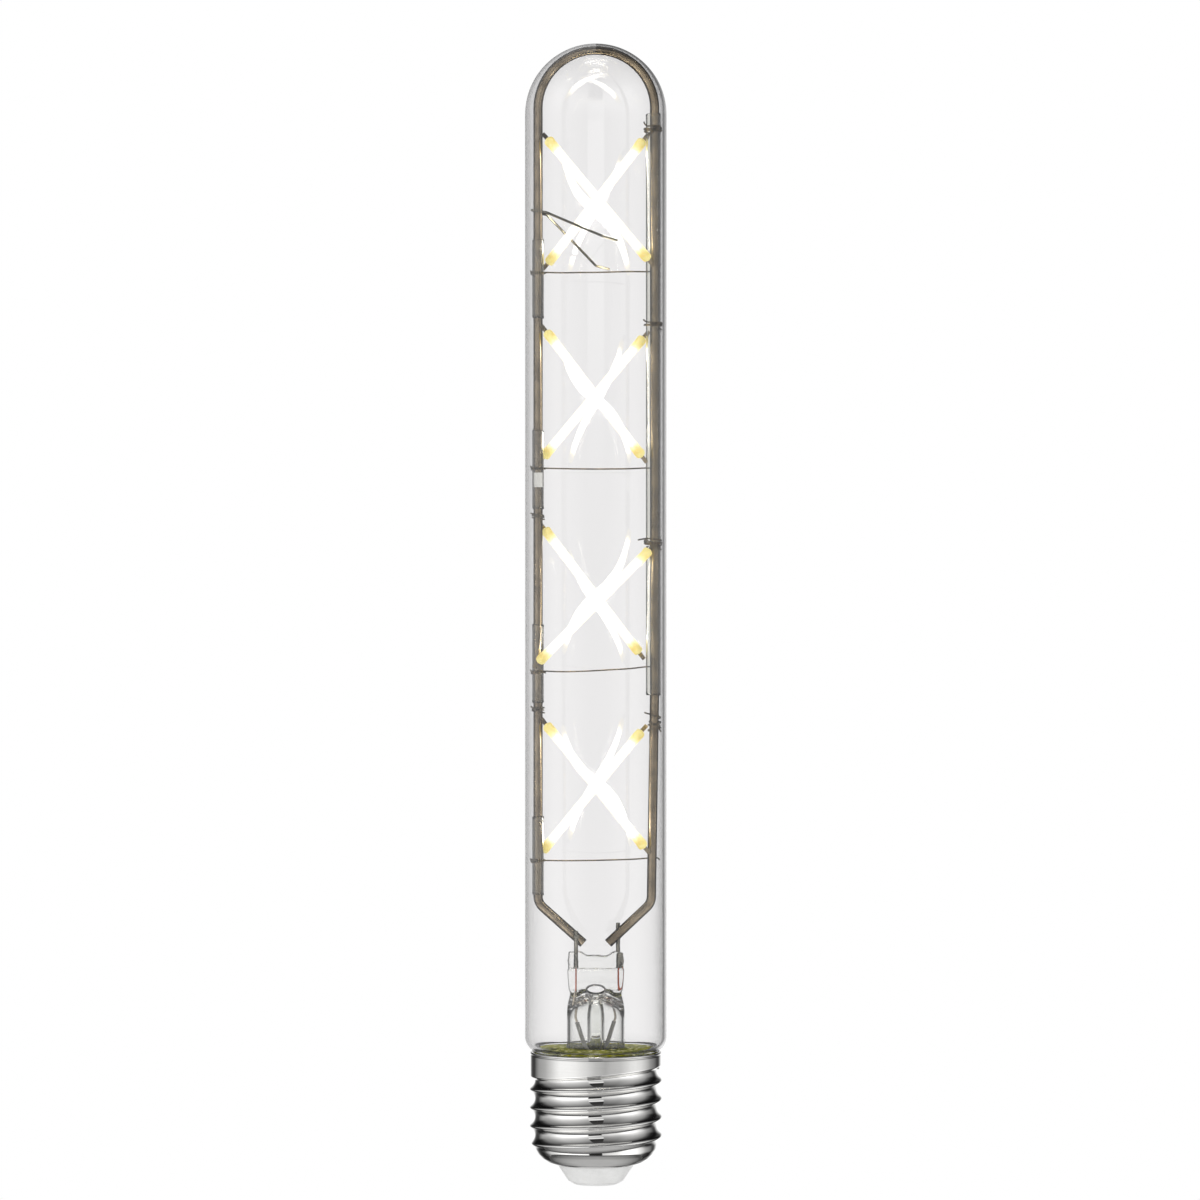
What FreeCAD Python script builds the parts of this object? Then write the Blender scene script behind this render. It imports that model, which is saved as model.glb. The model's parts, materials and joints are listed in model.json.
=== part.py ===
import FreeCAD, Part
import math
import os
import types

import Sketcher
from FreeCAD import Rotation, Vector

# Clear tubular lamp with a screw cap, +Z up, standing on the centre contact at the origin.
# A bent wire frame holds four crosses of two light strips each. All sizes are in millimetres.

# Alias, number or formula, and what it is
sizes = [
    ("bulb_length", 225.5, "contact face to the top of the dome"),
    ("glass_radius", 14, "outside of the glass tube"),
    ("glass_wall", 0.7, "glass tube wall"),
    ("dome_wall", 0.35, "glass at the top of the dome, where it is blown thin"),
    ("foot_radius", 12.6, "outside of the glass where it meets the stem flare"),
    ("foot_bend", 3, "radius of the bend at the foot of the glass"),
    ("foot_height", 26.6, "foot of the glass above the contact"),
    ("flare_radius", 12.4, "edge of the stem flare"),
    ("flare_thickness", 0.6, "stem flare"),
    ("stem_radius", 5.7, "outside of the stem tube"),
    ("stem_wall", 0.9, "stem tube wall"),
    ("stem_flare_bend", 2, "bend from the stem tube into its flare"),
    ("pinch_height", 33.5, "where the stem tube starts to flatten"),
    ("press_height", 38.5, "where the stem is fully flattened"),
    ("press_top", 45.6, "top of the pinched press"),
    ("press_thickness", 4.4, "pinched press, front to back"),
    ("press_half_width", 5.4, "pinched press, half its width"),
    ("collar_rise", 0.9, "glass collars round the leads above the press"),
    ("collar_foot_reach", 1.08, "glass collar beside its lead, at the foot"),
    ("collar_top_reach", 0.65, "glass collar beside its lead, at the top"),
    ("exhaust_radius", 1.7, "outside of the exhaust tube"),
    ("exhaust_bore", 1.05, "bore radius of the exhaust tube"),
    ("exhaust_tip", 17.5, "sealed lower tip of the exhaust tube"),
    ("vent_radius", 1.1, "gas hole at the top of the exhaust tube"),
    ("rod_radius", 0.93, "frame rod"),
    ("left_rod_across", 11.45, "left rod from the axis"),
    ("right_rod_across", 11.66, "right rod from the axis"),
    ("arch_gap", 0.05, "frame arch below the inside of the dome"),
    ("right_foot_across", 11, "right rod where it bends to the stem"),
    ("rod_foot_height", 55.6, "where both rods bend to the stem"),
    ("rod_end_height", 47.6, "lower ends of the rods"),
    ("rod_end_across", 2.45, "lower ends of the rods from the axis"),
    ("rod_bend", 3, "bend radius of the rods"),
    ("left_sleeve_radius", 1.18, "outside of the left sleeves"),
    ("right_sleeve_radius", 1.5, "outside of the right sleeves"),
    ("right_sleeve_wall", 0.25, "right sleeves"),
    ("right_sleeve_across", 11.4, "right sleeves from the axis"),
    ("fit_gap", 0.03, "clearance between pieces that are tied or slipped together"),
    ("filament_length", 31.5, "coated length of a light strip"),
    ("filament_radius", 0.95, "coated light strip"),
    ("filament_chamfer", 0.25, "edge of the coating"),
    ("carrier_width", 0.8, "strip inside the coating"),
    ("carrier_thickness", 0.3, "strip inside the coating"),
    ("tab_length", 1.3, "bare end of the strip"),
    ("lead_radius", 0.45, "nickel lead above the press"),
    ("left_lead_across", 3.9, "left lead from the axis"),
    ("right_lead_across", 4.4, "right lead from the axis"),
    ("left_lead_top", 50.2, "top of the left lead"),
    ("right_lead_top", 51.6, "top of the right lead"),
    ("lead_seat", 42.7, "foot of the leads in the press"),
    ("seal_radius", 0.15, "seal wire in the press"),
    ("outer_lead_radius", 0.25, "lead below the press"),
    ("outer_lead_top", 38.2, "top of the lower leads"),
    ("outer_lead_foot_across", 0.5, "lower leads at the foot of their sleeves"),
    ("exhaust_gap", 0.1, "sleeved leads from the exhaust tube"),
    ("outer_lead_turn", 18.3, "where the lower leads turn in to the board"),
    ("lead_sleeve_radius", 0.45, "sleeve on the lower leads"),
    ("lead_sleeve_top", 33, "top of the sleeves on the lower leads"),
    ("lead_sleeve_foot", 22, "foot of the sleeves on the lower leads"),
    ("lead_bare", 0.9, "bare lead before each end of its sleeve"),
    ("lead_bend", 1.8, "bend radius of the lower leads"),
    ("lead_clearance", 0.12, "sleeved leads from the bore of the stem"),
    ("tie_radius", 0.15, "thin tie and cross wires"),
    ("tie_pitch", 0.4, "rise of a wrap of thin wire"),
    ("tie_tail", 0.9, "loose tails of the thin wires"),
    ("spring_radius", 0.25, "centring spring wire"),
    ("spring_front_across", 4.2, "front tip of the spring from the axis"),
    ("spring_rear_across", 2.8, "rear tip of the spring from the axis"),
    ("spring_toe", 2.8, "length of each bent tip of the spring"),
    ("spring_toe_rise", 0.75, "rise of each bent tip of the spring"),
    ("spring_bend", 0.5, "bend radius of the spring"),
    ("collar_radius", 12.88, "plain collar of the screw cap"),
    ("rim_gap", 0.4, "rim of the screw cap below the foot of the glass"),
    ("rim_height", "=foot_height - rim_gap", "rim of the screw cap"),
    ("collar_length", 3.6, "plain collar of the screw cap"),
    ("collar_foot", "=rim_height - collar_length", "foot of the plain collar"),
    ("thread_root", 12.03, "root radius of the thread"),
    ("thread_crest", 13.05, "crest radius of the thread"),
    ("thread_pitch", 3.629, "seven turns to the inch"),
    ("thread_start", 7.9, "height of the lowest crest on the left"),
    ("thread_turns", 4, "turns of the rolled thread"),
    ("sheet", 0.3, "rolled sheet of the cap"),
    ("cap_taper_top", 7.3, "where the cap starts to close in"),
    ("cap_taper_foot", 4.9, "lower end of that taper"),
    ("cap_taper_radius", 9.6, "cap radius there"),
    ("cap_mouth", 7.6, "radius of the cap's lower mouth"),
    ("cap_mouth_height", 3.9, "height of that mouth"),
    ("insulator_shoulder", 5.45, "insulator above its lower corner"),
    ("insulator_shoulder_height", 0.75, "height of that corner"),
    ("insulator_foot", 4.3, "insulator at its lower face"),
    ("insulator_top", 6.4, "upper face of the insulator inside the cap"),
    ("insulator_core", 8.6, "insulator radius inside the cap"),
    ("insulator_step", 0.43, "rise of the step that grips the mouth of the cap"),
    ("contact_radius", 3.4, "centre contact"),
    ("contact_thickness", 0.45, "centre contact"),
    ("contact_edge", 0.12, "chamfer round the centre contact"),
    ("contact_proud", 0.1, "contact below the insulator"),
    ("wire_radius", 0.3, "wires between the driver and the cap"),
    ("wire_bend", 0.9, "bend radius of the wire to the collar"),
    ("cement_thickness", 1.6, "basing cement below the stem flare"),
    ("cement_foot", "=foot_height - flare_thickness - cement_thickness", "lower face of the cement"),
    ("cement_bore", 5.4, "opening in the basing cement"),
    ("board_width", 15, "driver board"),
    ("board_height", 9.2, "driver board"),
    ("board_thickness", 1, "driver board"),
    ("board_edge", 0.75, "wire to the collar from the edge of the board"),
    ("notch_width", 1.8, "notch in the foot of the board"),
    ("notch_height", 1.9, "notch in the foot of the board"),
    ("capacitor_radius", 2.4, "electrolytic capacitor"),
    ("capacitor_length", 7, "electrolytic capacitor"),
    ("rectifier_side", 4.4, "bridge rectifier"),
    ("rectifier_thickness", 1.5, "bridge rectifier"),
    ("chip_length", 4.9, "driver chip"),
    ("chip_width", 3.9, "driver chip"),
    ("resistor_radius", 1.1, "fusible resistor"),
    ("resistor_length", 6, "fusible resistor"),
    ("solder_radius", 0.8, "solder spot inside the collar"),
    ("cross_top_gap", 31, "highest cross below the top of the dome"),
    ("cross_foot_gap", 22.6, "lowest cross above the bends at the foot of the rods"),
    ("cross_span", "=bulb_length - cross_top_gap - rod_foot_height - cross_foot_gap", "first to last cross"),
    ("left_sleeve_gap", 22.97, "left sleeves shorter than the step from cross to cross"),
    ("left_sleeve_length", "=cross_span / 3 - left_sleeve_gap", "left sleeves"),
]

# Crosses from the top down, and how far the left sleeve beside each starts below its middle
for place, drop in enumerate((7.6, 6.53, 6.17, 5.4), 1):
    cross = f"cross_{place}_height"
    sleeve = f"left_sleeve_{place}"
    share = (place - 1) / 3
    sizes.append((cross, f"=bulb_length - cross_top_gap - cross_span * {share}", "middle of the cross"))
    sizes.append((f"{sleeve}_drop", drop, "top of the sleeve below the middle of its cross"))
    sizes.append((f"{sleeve}_top", f"={cross} - {sleeve}_drop", "top of the sleeve on the left rod"))

# How far the right end of each cross wire lies below the strip end above it
for place, drop in enumerate((0.2, 0.2, 0.9, 0.6), 1):
    sizes.append((f"cross_wire_{place}_drop", drop, "right end of the cross wire below the strip end"))

# Light strips: across, rise from the middle of the cross, lean from upright, depth from the frame
strips = {
    "1a": (0.42, 0.06, -39.8, -2.4),
    "1b": (-0.03, -0.07, 38.0, 1.9),
    "2a": (-0.34, 0.45, -37.4, -1.9),
    "2b": (-0.47, -0.05, 40.1, 2.1),
    "3a": (-0.78, 0.33, -37.6, 1.9),
    "3b": (-0.34, -2.67, 44.6, -2.6),
    "4a": (-0.09, 0.6, -38.6, -1.9),
    "4b": (-0.78, -0.6, 39.7, 2.2),
}
for strip, (across, rise, lean, depth) in strips.items():
    cross = f"cross_{strip[0]}_height"
    sizes.append((f"strip_{strip}_across", across, "light strip from the axis"))
    sizes.append((f"strip_{strip}_rise", rise, "light strip above the middle of its cross"))
    sizes.append((f"strip_{strip}_height", f"={cross} + strip_{strip}_rise", "light strip, middle"))
    sizes.append((f"strip_{strip}_lean", lean, "light strip, from upright"))
    sizes.append((f"strip_{strip}_depth", depth, "light strip, from the frame's plane"))

# Heights of what is tied to the crosses
sizes += [
    ("rod_break_drop", 8.5, "break in the left rod below the top of its sleeve"),
    ("rod_break_gap", 2.9, "gap at the break in the left rod"),
    ("rod_break_top", "=left_sleeve_2_top - rod_break_drop", "upper side of the break"),
    ("rod_break_bottom", "=rod_break_top - rod_break_gap", "lower side of the break"),
    ("right_sleeve_drop", 13.7, "upper right sleeve below the top of the dome"),
    ("right_sleeve_top", "=bulb_length - right_sleeve_drop", "top of the upper right sleeve"),
    ("right_joint_rise", 9.43, "where the right sleeves meet, above the third cross"),
    ("right_sleeve_joint", "=cross_3_height + right_joint_rise", "where the right sleeves meet"),
    ("right_foot_drop", 20.47, "foot of the lower right sleeve below the third cross"),
    ("right_sleeve_foot", "=cross_3_height - right_foot_drop", "foot of the lower right sleeve"),
    ("right_bend_rise", 1.5, "lean of the right rod above the foot of its sleeve"),
    ("right_bend_height", "=right_sleeve_foot + right_bend_rise", "where the right rod starts to lean"),
    ("spring_drop", 2.2, "spring on the left rod below the first cross"),
    ("spring_height", "=cross_1_height - spring_drop", "where the spring crosses the left rod"),
    ("spring_front_drop", 6.6, "front tip of the spring below its hook"),
    ("spring_front_height", "=spring_height - spring_front_drop", "front tip of the spring"),
    ("spring_rear_drop", 10.5, "rear tip of the spring below its hook"),
    ("spring_rear_height", "=spring_height - spring_rear_drop", "rear tip of the spring"),
]

doc = FreeCAD.newDocument("TubularLamp")
sheet = doc.addObject("Spreadsheet::Sheet", "Sizes")
for row, (alias, amount, note) in enumerate(sizes, 1):
    sheet.set(f"A{row}", note)
    sheet.set(f"B{row}", str(amount))
    sheet.setAlias(f"B{row}", alias)
doc.recompute()


class Size:
    # A number that keeps the sheet formula it comes from, so one sum serves geometry and expressions
    def __init__(self, value, text):
        self.value = value
        self.text = text

    def join(self, other, sign, value):
        return Size(value, f"({self.text} {sign} {other.text})")

    def __add__(self, other):
        other = sized(other)
        return self.join(other, "+", self.value + other.value)

    def __sub__(self, other):
        other = sized(other)
        return self.join(other, "-", self.value - other.value)

    def __mul__(self, other):
        other = sized(other)
        return self.join(other, "*", self.value * other.value)

    def __truediv__(self, other):
        other = sized(other)
        return self.join(other, "/", self.value / other.value)

    def __neg__(self):
        return Size(-self.value, f"(0 - {self.text})")

    def root(self):
        return Size(math.sqrt(self.value), f"sqrt({self.text})")


def sized(amount):
    return amount if isinstance(amount, Size) else Size(float(amount), str(amount))


def sheet_value(alias):
    return float(sheet.get(alias))


# The same sizes as s.NAME, which keep their formulas, and as v.NAME, which are plain numbers
v = types.SimpleNamespace(**{alias: sheet_value(alias) for alias, _, _ in sizes})
s = types.SimpleNamespace(**{alias: Size(value, f"Sizes.{alias}") for alias, value in vars(v).items()})
finished = []


def finish(item, label):
    item.Label = label
    finished.append(item)
    return item


def origin_plane(body, role):
    return next(feature for feature in body.Origin.OriginFeatures if feature.Role == role)


def pin(sketch, way, run, end, amount):
    index = sketch.addConstraint(Sketcher.Constraint(way, -1, 1, run, end, amount.value))
    sketch.setExpression(f"Constraints[{index}]", amount.text)


def sketch_on(body, role, corners):
    # Closed outline on an origin plane. A corner with four values ends an arc about the last two.
    sketch = body.newObject("Sketcher::SketchObject", "outline")
    sketch.AttachmentSupport = [(origin_plane(body, role), "")]
    sketch.MapMode = "FlatFace"
    corners = [tuple(sized(amount) for amount in corner) for corner in corners]
    ends = []
    for run, corner in enumerate(corners):
        start = Vector(corners[run - 1][0].value, corners[run - 1][1].value, 0)
        end = Vector(corner[0].value, corner[1].value, 0)
        ends.append((1, 2))
        if len(corner) == 2:
            sketch.addGeometry(Part.LineSegment(start, end))
            continue
        middle = Vector(corner[2].value, corner[3].value, 0)
        turn_right = (start - middle).cross(end - middle).z < 0
        low, high = (end, start) if turn_right else (start, end)
        if turn_right:
            ends[run] = (2, 1)
        angles = [math.atan2(point.y - middle.y, point.x - middle.x) for point in (low, high)]
        circle = Part.Circle(middle, Vector(0, 0, 1), (start - middle).Length)
        sketch.addGeometry(Part.ArcOfCircle(circle, *angles))
    for run, corner in enumerate(corners):
        after = (run + 1) % len(corners)
        sketch.addConstraint(Sketcher.Constraint("Coincident", run, ends[run][1], after, ends[after][0]))
        upright = True
        level = True
        if len(corner) == 4:
            pin(sketch, "DistanceX", run, 3, corner[2])
            pin(sketch, "DistanceY", run, 3, corner[3])
            reach = Vector(corner[0].value - corner[2].value, corner[1].value - corner[3].value, 0)
            level = abs(reach.x) <= abs(reach.y)
            upright = not level
        if level:
            pin(sketch, "DistanceX", run, ends[run][1], corner[0])
        if upright:
            pin(sketch, "DistanceY", run, ends[run][1], corner[1])
    return sketch


def turned(name, corners):
    # A body turned about the Z axis from its half section
    body = doc.addObject("PartDesign::Body", name)
    sketch = sketch_on(body, "XZ_Plane", corners)
    turn = body.newObject("PartDesign::Revolution", "turn")
    turn.Profile = sketch
    turn.ReferenceAxis = (sketch, ["V_Axis"])
    turn.Angle = 360
    return body


def grooved(body, corners):
    sketch = sketch_on(body, "XZ_Plane", corners)
    groove = body.newObject("PartDesign::Groove", "groove")
    groove.Profile = sketch
    groove.ReferenceAxis = (sketch, ["V_Axis"])
    groove.Angle = 360
    return body


def cut_through(body, role, corners, length=None):
    # A pocket on both sides of an origin plane, all through unless it has a length
    sketch = sketch_on(body, role, corners)
    pocket = body.newObject("PartDesign::Pocket", "pocket")
    pocket.Profile = sketch
    pocket.Midplane = True
    pocket.Type = "ThroughAll" if length is None else "Length"
    if length is not None:
        pocket.Length = length.value
        pocket.setExpression("Length", length.text)
    return body


def cylinder(name, radius, low, high, x=0, y=0):
    item = doc.addObject("Part::Cylinder", name)
    radius, low, high, x, y = (sized(amount) for amount in (radius, low, high, x, y))
    item.setExpression("Radius", radius.text)
    item.setExpression("Height", (high - low).text)
    item.setExpression("Placement.Base.x", x.text)
    item.setExpression("Placement.Base.y", y.text)
    item.setExpression("Placement.Base.z", low.text)
    return item


def box(name, size_x, size_y, size_z, x, y, z):
    # A box that stands at height z with the middle of its foot at x, y
    item = doc.addObject("Part::Box", name)
    size_x, size_y, size_z, x, y, z = (sized(amount) for amount in (size_x, size_y, size_z, x, y, z))
    item.setExpression("Length", size_x.text)
    item.setExpression("Width", size_y.text)
    item.setExpression("Height", size_z.text)
    item.setExpression("Placement.Base.x", (x - size_x / 2).text)
    item.setExpression("Placement.Base.y", (y - size_y / 2).text)
    item.setExpression("Placement.Base.z", z.text)
    return item


def cut(name, base, tool):
    item = doc.addObject("Part::Cut", name)
    item.Base = base
    item.Tool = tool
    return item


def tube(name, radius, bore, low, high, x):
    outside = cylinder(name + "_outside", radius, low, high, x)
    inside = cylinder(name + "_bore", bore, low, high, x)
    return finish(cut(name + "_tube", outside, inside), name)


def feature(name, shape):
    item = doc.addObject("Part::Feature", name)
    item.Shape = shape
    return item


def bent_path(corners, bend):
    # Straight runs joined by tangent arcs of one radius, or sharp corners where it is 0
    edges = []
    start = corners[0]
    for before, corner, after in zip(corners, corners[1:], corners[2:]):
        into = (corner - before).normalize()
        out = (after - corner).normalize()
        turn = into.getAngle(out)
        reach = min(bend * math.tan(turn / 2), 0.45 * min((corner - before).Length, (after - corner).Length))
        if reach < 1e-6:
            edges.append(Part.makeLine(start, corner))
            start = corner
            continue
        first = corner - into * reach
        last = corner + out * reach
        inward = (out - into).normalize()
        radius = reach / math.tan(turn / 2)
        middle = corner + inward * (radius / math.cos(turn / 2) - radius)
        edges.append(Part.makeLine(start, first))
        edges.append(Part.Arc(first, middle, last).toShape())
        start = last
    edges.append(Part.makeLine(start, corners[-1]))
    return Part.Wire(edges)


def bent_wire(name, corners, radius, bend=0, sides=0):
    # A round wire bent through its corners, or one with a few flat sides where it is very thin
    path = bent_path(corners, bend)
    along = corners[1] - corners[0]
    section = Part.Wire([Part.makeCircle(radius, corners[0], along)])
    if sides:
        across = along.cross(Vector(0.31, 0.17, 0.94)).normalize() * radius
        turns = [Rotation(along, 360 * side / sides) for side in range(sides + 1)]
        section = Part.makePolygon([corners[0] + turn.multVec(across) for turn in turns])
    solid = path.makePipeShell([section], True, False, 1 if bend == 0 else 0)
    return finish(feature(name, solid), name)


# Glass tube with its domed top and bent-in foot
def make_glass():
    bend_across = s.glass_radius - s.foot_bend
    foot_inset = s.foot_radius - bend_across
    bend_height = s.foot_height + (s.foot_bend * s.foot_bend - foot_inset * foot_inset).root()
    inner_bend = s.foot_bend - s.glass_wall
    dome_height = s.bulb_length - s.glass_radius
    inner_radius = s.glass_radius - s.glass_wall
    inner_dome_height = dome_height + s.glass_wall - s.dome_wall
    body = turned("glass", [
        (s.foot_radius, s.foot_height),
        (s.glass_radius, bend_height, bend_across, bend_height),
        (s.glass_radius, dome_height),
        (0, s.bulb_length, 0, dome_height),
        (0, s.bulb_length - s.dome_wall),
        (inner_radius, inner_dome_height, 0, inner_dome_height),
        (inner_radius, bend_height),
        (bend_across, bend_height - inner_bend, bend_across, bend_height),
        (bend_across, s.foot_height),
    ])
    finish(body, "glass_envelope")


# Stem: flare, tube and flattened press of one piece of glass, with its exhaust tube
def make_stem(wires):
    flare_foot = s.foot_height - s.flare_thickness
    bend_across = s.stem_radius + s.stem_flare_bend
    bend_height = s.foot_height + s.stem_flare_bend
    bore = s.stem_radius - s.stem_wall
    top = s.press_top + s.collar_rise
    body = turned("stem", [
        (0, flare_foot),
        (s.flare_radius, flare_foot),
        (s.flare_radius, s.foot_height),
        (bend_across, s.foot_height),
        (s.stem_radius, bend_height, bend_across, bend_height),
        (s.stem_radius, top),
        (0, top),
    ])
    half = s.press_thickness / 2
    clear = s.flare_radius + s.stem_wall
    for side in (1, -1):
        cut_through(body, "YZ_Plane", [
            (s.stem_radius * side, s.pinch_height),
            (half * side, s.press_height),
            (half * side, top + s.collar_rise),
            (clear * side, top + s.collar_rise),
            (clear * side, s.pinch_height),
        ])
        cut_through(body, "XZ_Plane", [
            (s.press_half_width * side, s.press_height),
            (s.press_half_width * side, top + s.collar_rise),
            (clear * side, top + s.collar_rise),
            (clear * side, s.press_height),
        ])
    cut_through(body, "XZ_Plane", [
        (s.collar_foot_reach - s.left_lead_across, s.press_top),
        (-s.exhaust_radius, s.press_top - s.collar_rise),
        (s.exhaust_radius, s.press_top - s.collar_rise / 2),
        (s.right_lead_across - s.collar_foot_reach, s.press_top),
        (s.right_lead_across - s.collar_top_reach, top + s.collar_rise),
        (s.collar_top_reach - s.left_lead_across, top + s.collar_rise),
    ])
    grooved(body, [
        (0, flare_foot - s.flare_thickness),
        (bore, flare_foot - s.flare_thickness),
        (bore, s.pinch_height),
        (s.exhaust_bore, s.press_height - s.stem_wall),
        (0, s.press_height - s.stem_wall),
    ])
    doc.recompute()
    exhaust = cylinder("exhaust_outside", s.exhaust_radius, s.exhaust_tip, s.press_height)
    joined = doc.addObject("Part::Fuse", "stem_with_exhaust")
    joined.Base = body
    joined.Tool = exhaust
    hollow = cylinder("exhaust_hollow", s.exhaust_bore, s.exhaust_tip + s.stem_wall, s.press_height)
    vent = cylinder("vent", s.vent_radius, 0, s.press_thickness)
    vent.Placement.Rotation = Rotation(Vector(1, 0, 0), 90)
    vent.setExpression("Placement.Base.z", s.press_height.text)
    opened = cut("stem_opened", cut("stem_bored", joined, hollow), vent)
    holes = doc.addObject("Part::MultiFuse", "lead_holes")
    holes.Shapes = wires
    finish(cut("stem_pierced", opened, holes), "glass_stem")


def make_leads():
    wires = []
    for side, across, top in (
        ("left", -v.left_lead_across, v.left_lead_top),
        ("right", v.right_lead_across, v.right_lead_top),
    ):
        facing = math.copysign(1, across)
        depth = facing * (v.rod_radius + v.lead_radius + v.fit_gap)
        foot = facing * v.outer_lead_foot_across
        beside = v.exhaust_radius + v.exhaust_gap + v.lead_sleeve_radius
        foot_depth = facing * math.sqrt(beside ** 2 - v.outer_lead_foot_across ** 2)
        board_top = v.insulator_top + v.board_height
        board_depth = facing * (v.board_thickness / 2 + v.outer_lead_radius + v.fit_gap)
        upper = [Vector(across, depth, v.lead_seat), Vector(across, depth, top)]
        seal = [Vector(across, depth, v.outer_lead_top), Vector(across, depth, v.lead_seat)]
        bore = v.stem_radius - v.stem_wall - v.lead_sleeve_radius - v.lead_clearance
        entry = facing * min(abs(across), math.sqrt(bore ** 2 - depth ** 2))
        sleeve_reach = v.outer_lead_top - v.lead_sleeve_top
        lower = [
            Vector(across, depth, v.outer_lead_top),
            Vector(across, depth, v.outer_lead_top - sleeve_reach / 4),
            Vector(entry, depth, v.outer_lead_top - sleeve_reach * 3 / 4),
            Vector(entry, depth, v.lead_sleeve_top),
            Vector(foot, foot_depth, v.lead_sleeve_foot),
            Vector(foot, foot_depth, v.outer_lead_turn),
            Vector(foot, board_depth, board_top + v.outer_lead_radius),
            Vector(foot, board_depth, board_top - v.lead_radius),
        ]
        wires.append(bent_wire(f"inner_lead_{side}", upper, v.lead_radius))
        wires.append(bent_wire(f"seal_wire_{side}", seal, v.seal_radius))
        wires.append(bent_wire(f"outer_lead_{side}", lower, v.outer_lead_radius, v.lead_bend, 8))
        run = lower[4] - lower[3]
        reach = run.Length - 2 * v.lead_bare
        start = lower[3] + run * (v.lead_bare / run.Length)
        shell = Part.makeCylinder(v.lead_sleeve_radius, reach, start, run)
        bore = Part.makeCylinder(v.outer_lead_radius + v.fit_gap, reach, start, run)
        finish(feature(f"sleeve_{side}", shell.cut(bore)), f"lead_sleeve_{side}")
    return wires


def right_rod_across(height):
    # The right rod stands upright and leans in below its bend
    share = (v.right_bend_height - height) / (v.right_bend_height - v.rod_foot_height)
    return v.right_rod_across + (v.right_foot_across - v.right_rod_across) * min(max(share, 0), 1)


# Frame bent from two lengths of rod: one over the arch, one at the lower left
def make_frame():
    arch_radius = (v.left_rod_across + v.right_rod_across) / 2
    arch_across = (v.right_rod_across - v.left_rod_across) / 2
    arch_top = v.bulb_length - v.dome_wall - v.arch_gap - v.rod_radius
    arch_foot = arch_top - arch_radius
    left = Vector(-v.left_rod_across, 0, arch_foot)
    right = Vector(v.right_rod_across, 0, arch_foot)
    upper = [
        Part.makeLine(Vector(-v.left_rod_across, 0, v.rod_break_top), left),
        Part.Arc(left, Vector(arch_across, 0, arch_foot + arch_radius), right).toShape(),
    ]
    lean = bent_path([
        right,
        Vector(v.right_rod_across, 0, v.right_bend_height),
        Vector(v.right_foot_across, 0, v.rod_foot_height),
        Vector(v.rod_end_across, 0, v.rod_end_height),
    ], v.rod_bend)
    path = Part.Wire(upper + lean.Edges)
    section = Part.Wire([Part.makeCircle(v.rod_radius, path.Edges[0].Vertexes[0].Point)])
    finish(feature("main_rod", path.makePipeShell([section], True, False)), "frame_rod_main")
    bent_wire("frame_rod_lower_left", [
        Vector(-v.rod_end_across, 0, v.rod_end_height),
        Vector(-v.left_rod_across, 0, v.rod_foot_height),
        Vector(-v.left_rod_across, 0, v.rod_break_bottom),
    ], v.rod_radius, v.rod_bend)


def make_sleeves():
    bore = s.rod_radius + s.fit_gap
    for place in range(1, 5):
        name = f"left_sleeve_{place}"
        top = getattr(s, f"{name}_top")
        foot = top - s.left_sleeve_length
        tube(name, s.left_sleeve_radius, bore, foot, top, -s.left_rod_across)
    bore = s.right_sleeve_radius - s.right_sleeve_wall
    for side, low, high in (
        ("upper", s.right_sleeve_joint + s.fit_gap, s.right_sleeve_top),
        ("lower", s.right_sleeve_foot, s.right_sleeve_joint),
    ):
        tube(f"right_sleeve_{side}", s.right_sleeve_radius, bore, low, high, s.right_sleeve_across)


def strip_end(strip, up):
    # Middle of a light strip's coated end, and the way along it
    lean = math.radians(getattr(v, f"strip_{strip}_lean"))
    way = Vector(math.sin(lean), 0, math.cos(lean)) * up
    middle = Vector(
        getattr(v, f"strip_{strip}_across"),
        getattr(v, f"strip_{strip}_depth"),
        getattr(v, f"strip_{strip}_height"),
    )
    return middle + way * (v.filament_length / 2), way


def anchor(strip, up):
    # Axis and radius of what a strip's bare end is fastened to
    end, way = strip_end(strip, up)
    if end.x < 0:
        return -v.left_rod_across, v.rod_radius if up > 0 else v.left_sleeve_radius
    if end.z < v.right_sleeve_foot:
        return right_rod_across(end.z), v.rod_radius
    return v.right_sleeve_across, v.right_sleeve_radius


def tab_tip(strip, up):
    # The bare end bends in until it lies against its rod or sleeve
    end, way = strip_end(strip, up)
    across, radius = anchor(strip, up)
    tip = end + way * v.tab_length
    reach = radius + v.carrier_thickness / 2 + 2 * v.fit_gap
    off = max(abs(tip.x - across) - v.carrier_width / 2, 0)
    tip.y = math.copysign(math.sqrt(max(reach ** 2 - off ** 2, 0)), end.y)
    return tip


def make_strip(strip):
    lean = getattr(v, f"strip_{strip}_lean")
    radius = s.filament_radius
    half = s.filament_length / 2
    edge = s.filament_chamfer
    body = turned(f"coat_{strip}", [
        (0, -half),
        (radius - edge, -half),
        (radius, edge - half),
        (radius, half - edge),
        (radius - edge, half),
        (0, half),
    ])
    across = s.carrier_width / 2
    deep = s.carrier_thickness / 2
    cut_through(body, "XY_Plane", [(across, deep), (-across, deep), (-across, -deep), (across, -deep)])
    for axis, size in (("x", "across"), ("y", "depth"), ("z", "height")):
        body.setExpression(f"Placement.Base.{axis}", f"Sizes.strip_{strip}_{size}")
    body.Placement.Rotation = Rotation(Vector(0, 1, 0), lean)
    finish(body, f"filament_{strip}")

    low, _ = strip_end(strip, -1)
    high, way = strip_end(strip, 1)
    width = Vector(way.z, 0, -way.x) * v.carrier_width
    thick = Vector(0, v.carrier_thickness / 2, 0)
    line = [tab_tip(strip, -1), low, high, tab_tip(strip, 1)]
    outline = [point + thick for point in line] + [point - thick for point in reversed(line)]
    outline = [point - width / 2 for point in outline]
    face = Part.Face(Part.makePolygon(outline + outline[:1]))
    finish(feature(f"carrier_{strip}", face.extrude(width)), f"filament_carrier_{strip}")


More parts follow.
